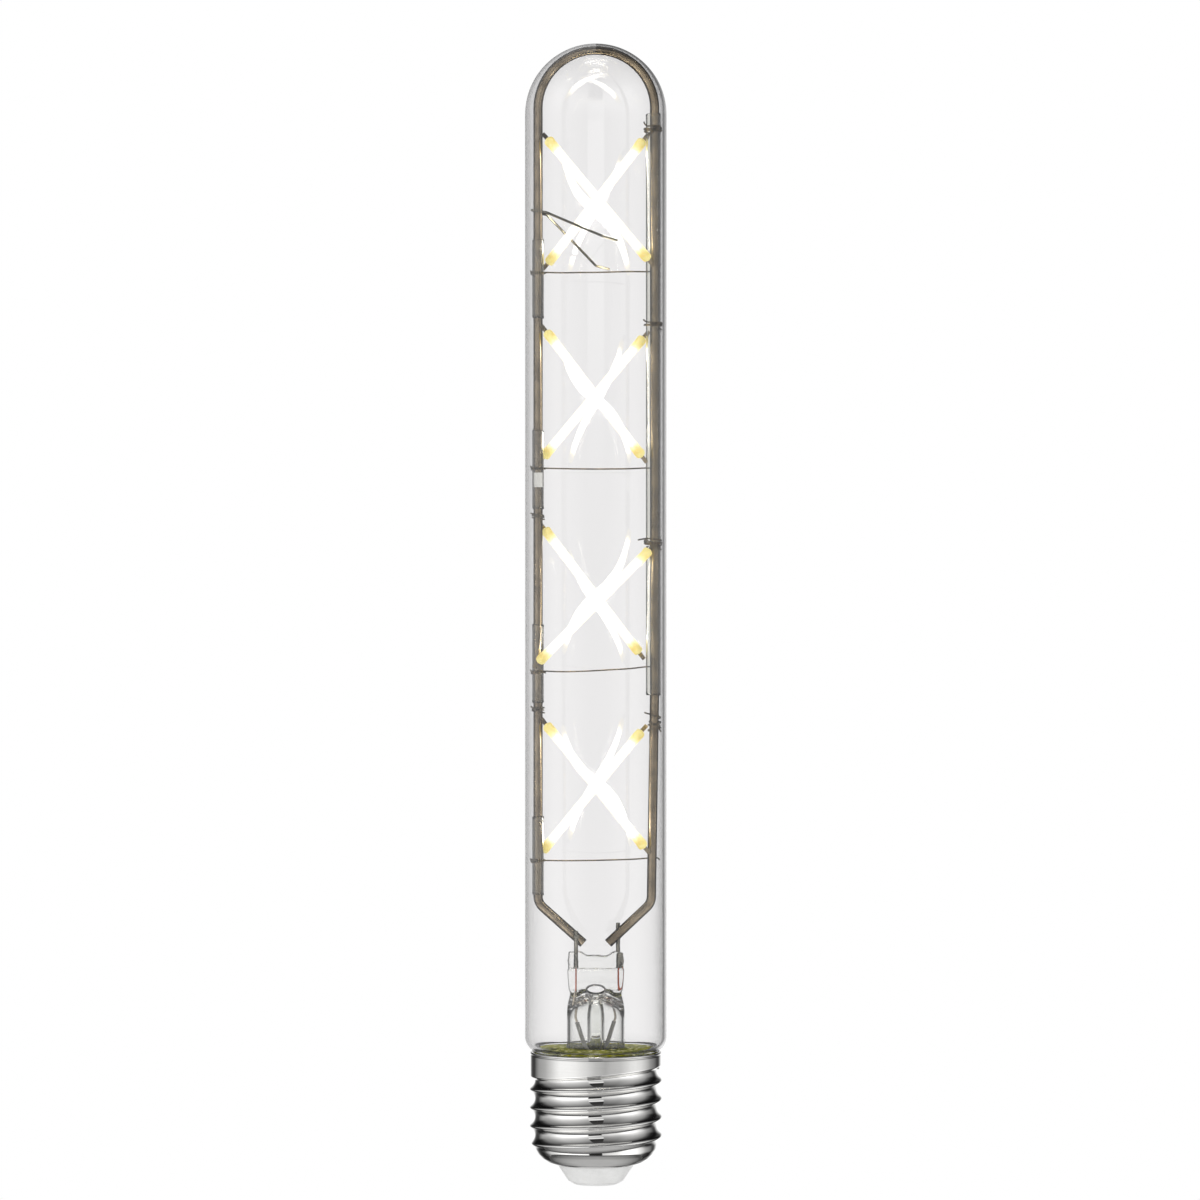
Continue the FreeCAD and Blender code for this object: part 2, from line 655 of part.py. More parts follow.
def wrap(across, radius, height, turns, start, rise=1):
    # Corners of a thin wire wound round an upright rod, eight to a turn, with flats to the sides
    step = 45
    ring = (radius + v.tie_radius + v.fit_gap) / math.cos(math.radians(step / 2))
    points = []
    for corner in range(round(turns * 8) + 1):
        angle = math.radians(start + step * (corner + 0.5))
        drop = rise * v.tie_pitch * corner / 8
        points.append(Vector(across + ring * math.cos(angle), ring * math.sin(angle), height + drop))
    return points


def clear_of_tabs():
    return v.carrier_width / 2 + v.tie_radius + v.fit_gap


# Thin wire from the lower left sleeve across to the right rod or sleeve, under each cross
def make_cross_wire(place):
    left_tip = tab_tip(f"{place}b", -1)
    right_tip = tab_tip(f"{place}a", -1)
    left_height = left_tip.z - clear_of_tabs()
    right_height = right_tip.z - clear_of_tabs() - getattr(v, f"cross_wire_{place}_drop")
    left = wrap(-v.left_rod_across, v.left_sleeve_radius, left_height, 1.5, 90, -1)
    across, radius = anchor(f"{place}a", -1)
    right = wrap(across, radius, right_height, 0.75, 180, -1)
    tail = left[0] + Vector(-v.tie_tail, 0, v.tie_tail / 4)
    end = right[-1] + Vector(-v.tie_tail, v.tie_tail / 4, -v.tie_radius)
    bent_wire(f"cross_wire_{place}", [tail] + left + right + [end], v.tie_radius, 0, 6)


# Tie round the right sleeve, above the end of each cross's upper right strip
def make_tie_wire(place):
    tip = tab_tip(f"{place}b", 1)
    across, radius = anchor(f"{place}b", 1)
    turns = wrap(across, radius, tip.z + clear_of_tabs(), 1.75, 180)
    tail = turns[0] + Vector(-v.tie_tail, -v.tie_tail / 4, v.tie_tail / 4)
    end = turns[-1] + Vector(-v.tie_tail / 2, v.tie_tail, v.tie_tail / 2)
    bent_wire(f"tie_wire_{place}", [tail] + turns + [end], v.tie_radius, 0, 6)


# Tie round the left rod, above the upper left end of the third and fourth crosses
def make_left_tie(place):
    tip = tab_tip(f"{place}a", 1)
    turns = wrap(-v.left_rod_across, v.rod_radius, tip.z + clear_of_tabs(), 1, 0)
    bent_wire(f"left_tie_{place}", turns, v.tie_radius, 0, 6)


# Spring wire hooked round the left rod, pressing on the front and back of the glass
def make_spring():
    reach = v.glass_radius - v.glass_wall - v.spring_radius - v.fit_gap
    hook = (v.rod_radius + v.spring_radius + v.fit_gap) * math.sqrt(2)
    rod = Vector(-v.left_rod_across, 0, v.spring_height)
    drop = Vector(0, 0, v.spring_radius)

    def tip(side, across, height):
        return Vector(across, side * math.sqrt(reach ** 2 - across ** 2), height)

    bent_wire("centring_spring", [
        tip(-1, v.spring_front_across, v.spring_front_height),
        tip(-1, v.spring_front_across - v.spring_toe, v.spring_front_height + v.spring_toe_rise),
        rod + Vector(hook, -hook, 0) - drop,
        rod + Vector(-hook / math.sqrt(2), -hook / math.sqrt(2), 0) + drop,
        rod + Vector(-hook / math.sqrt(2), hook / math.sqrt(2), 0) + drop,
        rod + Vector(hook, hook, 0) - drop * 2,
        tip(1, v.spring_rear_across - v.spring_toe, v.spring_rear_height + v.spring_toe_rise),
        tip(1, v.spring_rear_across, v.spring_rear_height),
    ], v.spring_radius, v.spring_bend, 8)


def thread_solid(inset):
    # One rolled ridge, moved inward by inset for the hollow behind it
    pitch = v.thread_pitch
    slope = pitch / 4 / (v.thread_crest - v.thread_root)
    crest = v.thread_crest - inset
    base = v.thread_root - inset - v.sheet / 2

    def half(radius):
        return pitch / 8 + slope * (v.thread_crest - radius) - inset * math.hypot(1, slope)

    low = v.thread_start - pitch
    height = pitch * (v.thread_turns + 1.5)
    section = Part.makePolygon([
        Vector(base, 0, -half(base)),
        Vector(crest, 0, -half(crest)),
        Vector(crest, 0, half(crest)),
        Vector(base, 0, half(base)),
        Vector(base, 0, -half(base)),
    ])
    helix = Part.makeHelix(pitch, height, base)
    ridge = Part.Wire(helix).makePipeShell([section], True, True)
    ridge.rotate(Vector(), Vector(0, 0, 1), 180)
    ridge.translate(Vector(0, 0, low))
    return ridge


def thread_limits(inset):
    # Turned solid that the ridge fades into at both ends
    crest = v.thread_crest - inset + v.fit_gap
    root = v.thread_root - inset - v.sheet
    fade = v.thread_pitch / 4
    corners = [
        (0, v.cap_taper_top - fade + inset),
        (root, v.cap_taper_top - fade + inset),
        (crest, v.cap_taper_top + fade + inset),
        (crest, v.collar_foot - fade),
        (root, v.collar_foot + fade),
        (0, v.collar_foot + fade),
    ]
    points = [Vector(radius, 0, height) for radius, height in corners]
    return Part.Face(Part.makePolygon(points + points[:1])).revolve(Vector(), Vector(0, 0, 1), 360)


# Screw cap rolled from one sheet: collar, hollow thread and closed-in foot
def make_cap():
    step = s.collar_radius - s.thread_root
    outside = turned("cap", [
        (0, s.cap_mouth_height),
        (s.cap_mouth, s.cap_mouth_height),
        (s.cap_taper_radius, s.cap_taper_foot),
        (s.thread_root, s.cap_taper_top),
        (s.thread_root, s.collar_foot - step - s.sheet / 2),
        (s.collar_radius, s.collar_foot - s.sheet / 2),
        (s.collar_radius, s.rim_height),
        (0, s.rim_height),
    ])
    inside = turned("cap_room", [
        (0, s.cap_mouth_height - s.sheet),
        (s.cap_mouth, s.cap_mouth_height - s.sheet),
        (s.cap_mouth, s.cap_mouth_height + s.sheet),
        (s.cap_taper_radius - s.sheet / 2, s.cap_taper_foot + s.sheet),
        (s.thread_root - s.sheet, s.cap_taper_top + s.sheet / 2),
        (s.thread_root - s.sheet, s.collar_foot - step),
        (s.collar_radius - s.sheet, s.collar_foot),
        (s.collar_radius - s.sheet, s.rim_height + s.sheet),
        (0, s.rim_height + s.sheet),
    ])
    ridge = feature("thread_ridge", thread_solid(0).common(thread_limits(0)))
    hollow = feature("thread_hollow", thread_solid(v.sheet).common(thread_limits(v.sheet)))
    joined = doc.addObject("Part::Fuse", "cap_with_ridge")
    joined.Base = outside
    joined.Tool = ridge
    opened = cut("cap_opened", joined, inside)
    finish(cut("cap_rolled", opened, hollow), "cap_shell")


def make_cap_foot():
    gap = s.fit_gap
    face = s.contact_proud
    seat = s.contact_thickness + gap
    finish(turned("insulator", [
        (s.wire_radius + gap, seat),
        (s.contact_radius + gap, seat),
        (s.contact_radius + gap, face),
        (s.insulator_foot, face),
        (s.insulator_shoulder, s.insulator_shoulder_height),
        (s.cap_mouth - gap, s.cap_mouth_height),
        (s.cap_mouth - gap, s.cap_taper_foot + s.sheet),
        (s.insulator_core, s.cap_taper_foot + s.sheet + s.insulator_step),
        (s.insulator_core, s.insulator_top),
        (s.wire_radius + gap, s.insulator_top),
    ]), "cap_insulator")
    finish(turned("contact", [
        (0, 0),
        (s.contact_radius - s.contact_edge, 0),
        (s.contact_radius, s.contact_edge),
        (s.contact_radius, s.contact_thickness),
        (0, s.contact_thickness),
    ]), "centre_contact")
    flare_foot = s.foot_height - s.flare_thickness
    finish(turned("cement", [
        (s.cement_bore, s.cement_foot),
        (s.collar_radius - s.sheet - gap, s.cement_foot),
        (s.collar_radius - s.sheet - gap, flare_foot),
        (s.cement_bore, flare_foot),
    ]), "basing_cement")


# Driver: an upright board on the insulator, with its parts on both faces
def make_driver():
    gap = s.fit_gap
    foot = s.insulator_top
    blank = box("board_blank", s.board_width, s.board_thickness, s.board_height, 0, 0, foot)
    notch = box("board_notch", s.notch_width, s.board_thickness, s.notch_height, 0, 0, foot)
    finish(cut("board_cut", blank, notch), "driver_board")
    face = s.board_thickness / 2
    middle = foot + s.board_height / 2
    finish(box(
        "rectifier_body", s.rectifier_side, s.rectifier_thickness, s.rectifier_side,
        s.board_width / 4, -face - s.rectifier_thickness / 2, middle - s.rectifier_side / 2,
    ), "rectifier")
    finish(box(
        "chip_body", s.chip_length, s.rectifier_thickness, s.chip_width,
        -s.board_width / 4, face + s.rectifier_thickness / 2, middle - s.chip_width / 2,
    ), "driver_chip")
    reach = s.capacitor_radius + gap
    low = middle - s.capacitor_length / 2
    can = cylinder(
        "can", s.capacitor_radius, low, low + s.capacitor_length, s.board_width / 4, face + reach,
    )
    finish(can, "capacitor")
    low = middle - s.resistor_length / 2
    resistor = cylinder(
        "resistor", s.resistor_radius, low, low + s.resistor_length,
        -s.board_width / 4, -face - s.resistor_radius - gap,
    )
    finish(resistor, "fuse_resistor")
    wire = cylinder("wire", s.wire_radius, s.contact_thickness, foot + s.notch_height)
    finish(wire, "centre_contact_wire")
    depth = -v.board_thickness / 2 - v.wire_radius - v.fit_gap
    inside = v.collar_radius - v.sheet
    spot_height = v.cement_foot - v.solder_radius - v.fit_gap
    seat = inside - v.solder_radius
    top = v.insulator_top + v.board_height
    across = v.board_width / 2 - v.board_edge
    bent_wire("side_contact_wire", [
        Vector(across, depth, top - v.notch_height),
        Vector(across, depth, top + v.notch_height),
        Vector(seat - v.solder_radius * 2, depth, spot_height),
        Vector(seat - v.fit_gap, depth, spot_height),
    ], v.wire_radius, v.wire_bend, 8)
    spot = Part.makeCylinder(
        v.solder_radius, v.solder_radius * 2, Vector(seat, depth, spot_height), Vector(1, 0, 0),
    )
    room = Part.makeCylinder(inside - v.fit_gap, v.rim_height)
    finish(feature("solder", spot.common(room)), "collar_solder")


make_glass()
make_stem(make_leads())
make_frame()
make_sleeves()
for strip in strips:
    make_strip(strip)
for place in range(1, 5):
    make_cross_wire(place)
    make_tie_wire(place)
for place in (3, 4):
    make_left_tie(place)
make_spring()
make_cap()
make_cap_foot()
make_driver()
doc.recompute()

for item in doc.Objects:
    if "Invalid" in item.State or "Error" in item.State:
        raise RuntimeError(f"{item.Label} failed: {item.State}")
for item in finished:
    if item.Shape.isNull() or not item.Shape.isValid() or item.Shape.Volume <= 0:
        raise RuntimeError(f"{item.Label} has no valid solid")

os.makedirs("parts", exist_ok=True)
for item in finished:
    item.Shape.exportStep(f"parts/{item.Label}.step")
    print(f"{item.Label}: {len(item.Shape.Solids)} solid, {item.Shape.Volume:.2f} mm3")
print(f"{len(finished)} pieces")
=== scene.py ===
import json
import math
import random

import bmesh
import bpy
from mathutils import Matrix, Vector, noise

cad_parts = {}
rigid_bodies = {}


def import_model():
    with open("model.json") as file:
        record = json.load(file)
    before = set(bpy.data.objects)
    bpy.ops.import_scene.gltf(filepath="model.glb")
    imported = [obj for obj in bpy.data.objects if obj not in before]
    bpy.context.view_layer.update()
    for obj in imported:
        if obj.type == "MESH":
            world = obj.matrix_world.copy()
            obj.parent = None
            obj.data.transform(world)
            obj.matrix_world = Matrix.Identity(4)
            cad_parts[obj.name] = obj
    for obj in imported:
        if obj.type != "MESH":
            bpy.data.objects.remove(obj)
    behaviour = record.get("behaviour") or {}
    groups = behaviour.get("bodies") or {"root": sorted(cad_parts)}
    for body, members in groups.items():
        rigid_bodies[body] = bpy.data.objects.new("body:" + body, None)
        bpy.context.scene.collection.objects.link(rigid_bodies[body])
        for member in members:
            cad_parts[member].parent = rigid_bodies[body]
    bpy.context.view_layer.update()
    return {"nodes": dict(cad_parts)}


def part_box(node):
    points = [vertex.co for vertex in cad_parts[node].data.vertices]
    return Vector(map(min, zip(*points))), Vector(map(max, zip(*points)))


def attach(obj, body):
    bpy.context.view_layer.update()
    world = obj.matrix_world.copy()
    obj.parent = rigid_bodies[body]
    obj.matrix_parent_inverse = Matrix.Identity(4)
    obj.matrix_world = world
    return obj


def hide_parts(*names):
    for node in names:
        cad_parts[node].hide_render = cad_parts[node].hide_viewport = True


for thing in list(bpy.data.objects):
    bpy.data.objects.remove(thing)
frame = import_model()
scene = bpy.context.scene
mm = 0.001
print("frame loaded")


# Materials

def newGroup(name, inputs, outputs):
    # A shader node group with float, colour or vector sockets, what comes into it and what it puts out
    kinds = {"f": "NodeSocketFloat", "c": "NodeSocketColor", "v": "NodeSocketVector"}
    group = bpy.data.node_groups.new(name, "ShaderNodeTree")
    for label, kind, start in inputs:
        socket = group.interface.new_socket(label, in_out="INPUT", socket_type=kinds[kind])
        if start is not None:
            socket.default_value = start
    for label, kind in outputs:
        group.interface.new_socket(label, in_out="OUTPUT", socket_type=kinds[kind])
    source = group.nodes.new("NodeGroupInput").outputs
    target = group.nodes.new("NodeGroupOutput").inputs
    return group, source, target


def addNode(tree, kind, **values):
    # A node with its properties, and its inputs given as in_NAME or in_NUMBER
    node = tree.nodes.new(kind)
    for key, value in values.items():
        if key.startswith("in_"):
            place = key[3:]
            socket = node.inputs[int(place)] if place.isdigit() else node.inputs[place.replace("_", " ")]
            socket.default_value = value
        else:
            setattr(node, key, value)
    return node


def join(tree, source, target):
    tree.links.new(source, target)


def mathNode(tree, work, first, second=None, third=None):
    node = addNode(tree, "ShaderNodeMath", operation=work)
    for place, value in enumerate((first, second, third)):
        if value is None:
            continue
        if isinstance(value, (int, float)):
            node.inputs[place].default_value = value
        else:
            join(tree, value, node.inputs[place])
    return node.outputs[0]


def blendColour(tree, factor, first, second):
    node = addNode(tree, "ShaderNodeMix", data_type="RGBA")
    for place, value in ((0, factor), (6, first), (7, second)):
        if isinstance(value, (tuple, list, float, int)):
            node.inputs[place].default_value = value
        else:
            join(tree, value, node.inputs[place])
    return node.outputs[2]


def spread(tree, value, low, high, start=0.0, end=1.0):
    # value from low..high to start..end, held at both ends
    node = addNode(tree, "ShaderNodeMapRange", in_1=low, in_2=high, in_3=start, in_4=end)
    join(tree, value, node.inputs[0])
    return node.outputs[0]


def noiseAt(tree, place, scale, detail=3.0, roughness=0.5):
    node = addNode(tree, "ShaderNodeTexNoise", in_Scale=scale, in_Detail=detail, in_Roughness=roughness)
    join(tree, place, node.inputs["Vector"])
    return node.outputs["Fac"]


def stretched(tree, place, marks):
    # Coordinates that draw marks out along the way where their share is small
    node = addNode(tree, "ShaderNodeVectorMath", operation="MULTIPLY")
    join(tree, place, node.inputs[0])
    join(tree, marks, node.inputs[1])
    return node.outputs[0]


def makeMetalGroup():
    # Drawn or rolled metal: fine marks along one way, clouds of tarnish and small pits
    group, source, target = newGroup("rolledMetal", [
        ("Place", "v", None), ("Light", "c", (0.8, 0.8, 0.8, 1)), ("Dark", "c", (0.5, 0.5, 0.5, 1)),
        ("Marks", "v", (1, 1, 1)), ("Tarnish", "f", 0.5), ("Smooth", "f", 0.1), ("Rough", "f", 0.3),
    ], [("Color", "c"), ("Roughness", "f"), ("Height", "f")])
    marked = stretched(group, source["Place"], source["Marks"])
    marks = noiseAt(group, marked, 900.0, 4.0, 0.6)
    clouds = noiseAt(group, source["Place"], 260.0, 5.0, 0.62)
    pits = noiseAt(group, source["Place"], 3200.0, 2.0)
    dirty = spread(group, clouds, 0.42, 0.7)
    dirty = mathNode(group, "MULTIPLY", dirty, source["Tarnish"])
    shade = mathNode(group, "ADD", dirty, spread(group, marks, 0.3, 0.8, 0.0, 0.25))
    join(group, blendColour(group, mathNode(group, "MINIMUM", shade, 1.0), source["Light"], source["Dark"]),
         target["Color"])
    rougher = mathNode(group, "SUBTRACT", source["Rough"], source["Smooth"])
    rough = mathNode(group, "MULTIPLY_ADD", dirty, rougher, source["Smooth"])
    streaks = mathNode(group, "MULTIPLY", spread(group, marks, 0.4, 0.9, 0.0, 0.5), source["Smooth"])
    join(group, mathNode(group, "ADD", rough, streaks), target["Roughness"])
    join(group, mathNode(group, "MULTIPLY_ADD", pits, 0.3, marks), target["Height"])
    return group


def makeClearGroup():
    # Drawn glass: faint long waves
    group, source, target = newGroup("drawnGlass", [
        ("Place", "v", None), ("Marks", "v", (1, 1, 0.12)),
    ], [("Height", "f")])
    marked = stretched(group, source["Place"], source["Marks"])
    wide = noiseAt(group, marked, 120.0, 1.0)
    fine = noiseAt(group, marked, 420.0, 1.0)
    join(group, mathNode(group, "MULTIPLY_ADD", fine, 0.2, wide), target["Height"])
    return group


def makeDullGroup():
    # Moulded, fired or set stuff: two colours in patches, grains and fine speckle
    group, source, target = newGroup("dullStuff", [
        ("Place", "v", None), ("Base", "c", (0.8, 0.8, 0.8, 1)), ("Patch", "c", (0.6, 0.6, 0.6, 1)),
        ("Speck", "c", (1, 1, 1, 1)), ("Scale", "f", 1.0), ("Specks", "f", 0.3), ("Rough", "f", 0.5),
    ], [("Color", "c"), ("Roughness", "f"), ("Height", "f")])
    scaled = addNode(group, "ShaderNodeVectorMath", operation="SCALE")
    join(group, source["Place"], scaled.inputs[0])
    join(group, source["Scale"], scaled.inputs["Scale"])
    patches = noiseAt(group, scaled.outputs[0], 500.0, 4.0, 0.6)
    grains = noiseAt(group, scaled.outputs[0], 2600.0, 2.0)
    specks = addNode(group, "ShaderNodeTexVoronoi", in_Scale=2100.0)
    join(group, scaled.outputs[0], specks.inputs["Vector"])
    spots = spread(group, specks.outputs["Distance"], 0.42, 0.2)
    spots = mathNode(group, "MULTIPLY", spots, source["Specks"])
    colour = blendColour(group, spread(group, patches, 0.38, 0.62), source["Base"], source["Patch"])
    join(group, blendColour(group, spots, colour, source["Speck"]), target["Color"])
    join(group, mathNode(group, "MULTIPLY_ADD", grains, 0.2, source["Rough"]), target["Roughness"])
    join(group, mathNode(group, "MULTIPLY_ADD", patches, 0.6, grains), target["Height"])
    return group


metalGroup = makeMetalGroup()
clearGroup = makeClearGroup()
dullGroup = makeDullGroup()


def startMaterial(name, group, values):
    # A material with a Principled node, and a group fed with object coordinates and its values
    material = bpy.data.materials.new(name)
    material.use_nodes = True
    tree = material.node_tree
    tree.nodes.clear()
    surface = tree.nodes.new("ShaderNodeBsdfPrincipled")
    output = tree.nodes.new("ShaderNodeOutputMaterial")
    join(tree, surface.outputs[0], output.inputs["Surface"])
    place = tree.nodes.new("ShaderNodeTexCoord").outputs["Object"]
    effect = tree.nodes.new("ShaderNodeGroup")
    effect.node_tree = group
    join(tree, place, effect.inputs["Place"])
    for key, value in values.items():
        effect.inputs[key].default_value = value
    return material, tree, surface, effect


def objectPlace(tree):
    return next(node for node in tree.nodes if node.type == "TEX_COORD").outputs["Object"]


def addBump(tree, surface, height, strength, distance):
    bump = addNode(tree, "ShaderNodeBump", in_Strength=strength, in_Distance=distance)
    join(tree, height, bump.inputs["Height"])
    join(tree, bump.outputs["Normal"], surface.inputs["Normal"])


def metalMaterial(name, light, dark, marks=(1, 1, 1), tarnish=0.5, smooth=0.1, rough=0.3, bump=0.1,
                  outline=False):
    material, tree, surface, effect = startMaterial(name, metalGroup, {
        "Light": (*light, 1), "Dark": (*dark, 1), "Marks": marks,
        "Tarnish": tarnish, "Smooth": smooth, "Rough": rough,
    })
    surface.inputs["Metallic"].default_value = 1
    colour = effect.outputs["Color"]
    if outline:
        # Painted shade: the colour darkens where the round surface turns away from view, standing in for its
        # dark edges
        turned = addNode(tree, "ShaderNodeLayerWeight", in_Blend=0.5).outputs["Facing"]
        paintedEdgeShade = [value * 0.3 for value in dark] + [1]
        colour = blendColour(tree, spread(tree, turned, 0.05, 0.42), colour, paintedEdgeShade)
    join(tree, colour, surface.inputs["Base Color"])
    join(tree, effect.outputs["Roughness"], surface.inputs["Roughness"])
    addBump(tree, surface, effect.outputs["Height"], bump, 0.05 * mm)
    return material


def glassMaterial(name, colour, marks=(1, 1, 0.12), bump=0.02, ior=1.5):
    material, tree, surface, effect = startMaterial(name, clearGroup, {"Marks": marks})
    surface.inputs["Base Color"].default_value = (*colour, 1)
    surface.inputs["Roughness"].default_value = 0
    surface.inputs["IOR"].default_value = ior
    surface.inputs["Transmission Weight"].default_value = 1
    addBump(tree, surface, effect.outputs["Height"], bump, 0.2 * mm)
    return material


def dullMaterial(name, base, patch, speck, scale=1.0, specks=0.3, rough=0.5, bump=0.2, shine=0.5):
    material, tree, surface, effect = startMaterial(name, dullGroup, {
        "Base": (*base, 1), "Patch": (*patch, 1), "Speck": (*speck, 1),
        "Scale": scale, "Specks": specks, "Rough": rough,
    })
    join(tree, effect.outputs["Color"], surface.inputs["Base Color"])
    join(tree, effect.outputs["Roughness"], surface.inputs["Roughness"])
    surface.inputs["Specular IOR Level"].default_value = shine
    addBump(tree, surface, effect.outputs["Height"], bump, 0.1 * mm)
    return material


materials = {
    "clear_glass": glassMaterial("clearGlass", (0.96, 0.955, 0.955)),
    "stem_glass": glassMaterial("stemGlass", (0.975, 0.98, 0.97), (1, 1, 0.4), 0.1, 1.5),
    "sleeve_glass": glassMaterial("sleeveGlass", (0.93, 0.93, 0.9), (1, 1, 0.3), 0.15),
    "rod_nickel": metalMaterial("rodNickel", (0.42, 0.34, 0.23), (0.12, 0.09, 0.06), (1, 1, 0.08), 0.8,
                                0.05, 0.18, outline=True),
    "lead_nickel": metalMaterial("leadNickel", (0.42, 0.4, 0.34), (0.08, 0.08, 0.06), (1, 1, 0.5), 1.0,
                                 0.08, 0.3, outline=True),
    "seal_copper": metalMaterial("sealCopper", (0.75, 0.16, 0.07), (0.45, 0.07, 0.03), (1, 1, 0.2), 0.5,
                                 0.3, 0.5),
    "outer_lead_metal": metalMaterial("outerLead", (0.55, 0.5, 0.42), (0.3, 0.22, 0.15), (1, 1, 0.2)),
    "carrier_metal": metalMaterial("carrierMetal", (0.32, 0.26, 0.17), (0.1, 0.07, 0.04), (1, 1, 1), 0.7),
    "thin_wire": metalMaterial("thinWire", (0.24, 0.19, 0.12), (0.06, 0.05, 0.035), (1, 1, 1), 0.9),
    "spring_wire": metalMaterial("springWire", (0.26, 0.24, 0.18), (0.08, 0.07, 0.05), (1, 1, 1), 0.6),
    "cap_nickel": metalMaterial("capNickel", (0.88, 0.875, 0.86), (0.72, 0.71, 0.69), (0.2, 0.2, 3), 0.2,
                                0.02, 0.07, 0.012),
    "contact_metal": metalMaterial("contactMetal", (0.75, 0.74, 0.7), (0.4, 0.38, 0.34), (1, 1, 1), 0.6),
    "capacitor_can": metalMaterial("capacitorCan", (0.7, 0.7, 0.72), (0.5, 0.5, 0.5), (1, 1, 1), 0.3),
    "link_wire": metalMaterial("linkWire", (0.72, 0.7, 0.66), (0.45, 0.42, 0.38), (1, 1, 0.3), 0.4),
    "solder": metalMaterial("solder", (0.66, 0.66, 0.64), (0.4, 0.4, 0.38), (1, 1, 1), 0.6, 0.25, 0.5, 0.4),
    "cap_ceramic": dullMaterial("capCeramic", (0.86, 0.86, 0.85), (0.8, 0.8, 0.79), (0.9, 0.9, 0.9),
                                1, 0.2, 0.25),
    # Painted light on the cement: its pale yellow specks are painted glints, and its base colour is set
    # brighter than its own to make up for the little light that reaches it
    "cement": dullMaterial("cement", (0.6, 0.6, 0.01), (0.16, 0.18, 0.0), (1.0, 0.97, 0.4),
                           0.42, 1.5, 0.7, 0.5, 0.05),
    "lead_sleeving": dullMaterial("leadSleeving", (0.75, 0.74, 0.68), (0.55, 0.53, 0.46), (0.85, 0.84, 0.8),
                                  2, 0.4),
    "board": dullMaterial("board", (0.05, 0.2, 0.09), (0.04, 0.15, 0.07), (0.3, 0.4, 0.3), 1, 0.2, 0.4),
    "component_plastic": dullMaterial("componentPlastic", (0.03, 0.03, 0.03), (0.02, 0.02, 0.02),
                                      (0.1, 0.1, 0.1)),
    "resistor_body": dullMaterial("resistorBody", (0.25, 0.36, 0.42), (0.2, 0.3, 0.36), (0.4, 0.5, 0.55)),
}


def makeCoatMaterial():
    # Phosphor coat that shines white, with dull yellow ends. The piece stands along its own Z.
    settings = {
        "glow": 1.25, "endGlow": 0.55, "cast": 9.0, "half": 15.75, "brightFrom": 2.9, "brightTo": 0.6,
        "white": (1.0, 0.985, 0.93, 1), "yellow": (1.0, 0.85, 0.27, 1), "rimFade": (0.04, 0.75),
    }
    material, tree, surface, effect = startMaterial("lightCoat", dullGroup, {
        "Base": (0.95, 0.88, 0.4, 1), "Patch": (0.72, 0.5, 0.08, 1), "Speck": (0.95, 0.9, 0.6, 1),
        "Scale": 1.2, "Specks": 0.5, "Rough": 0.5,
    })
    place = objectPlace(tree)
    parts = tree.nodes.new("ShaderNodeSeparateXYZ")
    join(tree, place, parts.inputs[0])
    along = mathNode(tree, "ABSOLUTE", parts.outputs["Z"])
    ragged = noiseAt(tree, place, 900.0, 2.0)
    edge = mathNode(tree, "MULTIPLY_ADD", ragged, 1.0 * mm, along)
    shine = spread(tree, edge, (settings["half"] - settings["brightTo"]) * mm,
                   (settings["half"] - settings["brightFrom"]) * mm)
    shine = mathNode(tree, "POWER", shine, 2.2)
    join(tree, effect.outputs["Color"], surface.inputs["Base Color"])
    join(tree, effect.outputs["Roughness"], surface.inputs["Roughness"])
    lit = blendColour(tree, shine, settings["yellow"], settings["white"])
    join(tree, lit, surface.inputs["Emission Color"])
    # Rods and sleeves nearby take up more of its light than the picture shows of the strip itself
    mirrored = tree.nodes.new("ShaderNodeLightPath").outputs["Glossy Depth"]
    cast = mathNode(tree, "MULTIPLY", mathNode(tree, "MINIMUM", mirrored, 1.0), shine)
    cast = mathNode(tree, "MULTIPLY_ADD", cast, settings["cast"], 1.0)
    glow = spread(tree, shine, 0, 1, settings["endGlow"], settings["glow"])
    join(tree, mathNode(tree, "MULTIPLY", glow, cast), surface.inputs["Emission Strength"])
    rim = addNode(tree, "ShaderNodeLayerWeight", in_Blend=0.5).outputs["Facing"]
    # The rim fades out, as a lit strip has no sharp edge in the picture
    fade = mathNode(tree, "MULTIPLY", spread(tree, rim, *settings["rimFade"]), shine)
    join(tree, mathNode(tree, "SUBTRACT", 1.0, fade), surface.inputs["Alpha"])
    addBump(tree, surface, effect.outputs["Height"], 0.5, 0.2 * mm)
    return material


materials["light_coat"] = makeCoatMaterial()
for name, node in frame["nodes"].items():
    slotName = node.data.materials[0].name.split(".")[0]
    node.data.materials.clear()
    node.data.materials.append(materials[slotName])
print("materials made")


# Building helpers

def skin(rows, ring=False):
    # Points and faces of loops joined one after another. A loop of one point closes an end.
    points = [point for row in rows for point in row]
    starts = [0]
    for row in rows:
        starts.append(starts[-1] + len(row))
    faces = []
    pairs = list(zip(range(len(rows)), range(1, len(rows))))
    if ring:
        pairs.append((len(rows) - 1, 0))
    for low, high in pairs:
        count = max(len(rows[low]), len(rows[high]))
        for step in range(count):
            after = (step + 1) % count
            corners = []
            for row, place in ((low, step), (low, after), (high, after), (high, step)):
                corner = starts[row] + place % len(rows[row])
                if corner not in corners:
                    corners.append(corner)
            if len(corners) > 2:
                faces.append(corners)
    return points, faces


def addSolid(name, points, faces):
    # A closed mesh from points in millimetres, with its faces turned outward
    mesh = bpy.data.meshes.new(name)
    mesh.from_pydata([[value * mm for value in point] for point in points], [], faces)
    build = bmesh.new()
    build.from_mesh(mesh)
    bmesh.ops.recalc_face_normals(build, faces=build.faces)
    build.to_mesh(mesh)
    build.free()
    solid = bpy.data.objects.new(name, mesh)
    scene.collection.objects.link(solid)
    return solid


def addPiece(name, points, faces, slotName, nodes, place=None):
    piece = addSolid(name, points, faces)
    piece.data.polygons.foreach_set("use_smooth", [True] * len(piece.data.polygons))
    piece.data.materials.append(materials[slotName])
    if place is not None:
        piece.matrix_world = place
    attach(piece, "root")
    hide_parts(*nodes)
    return piece


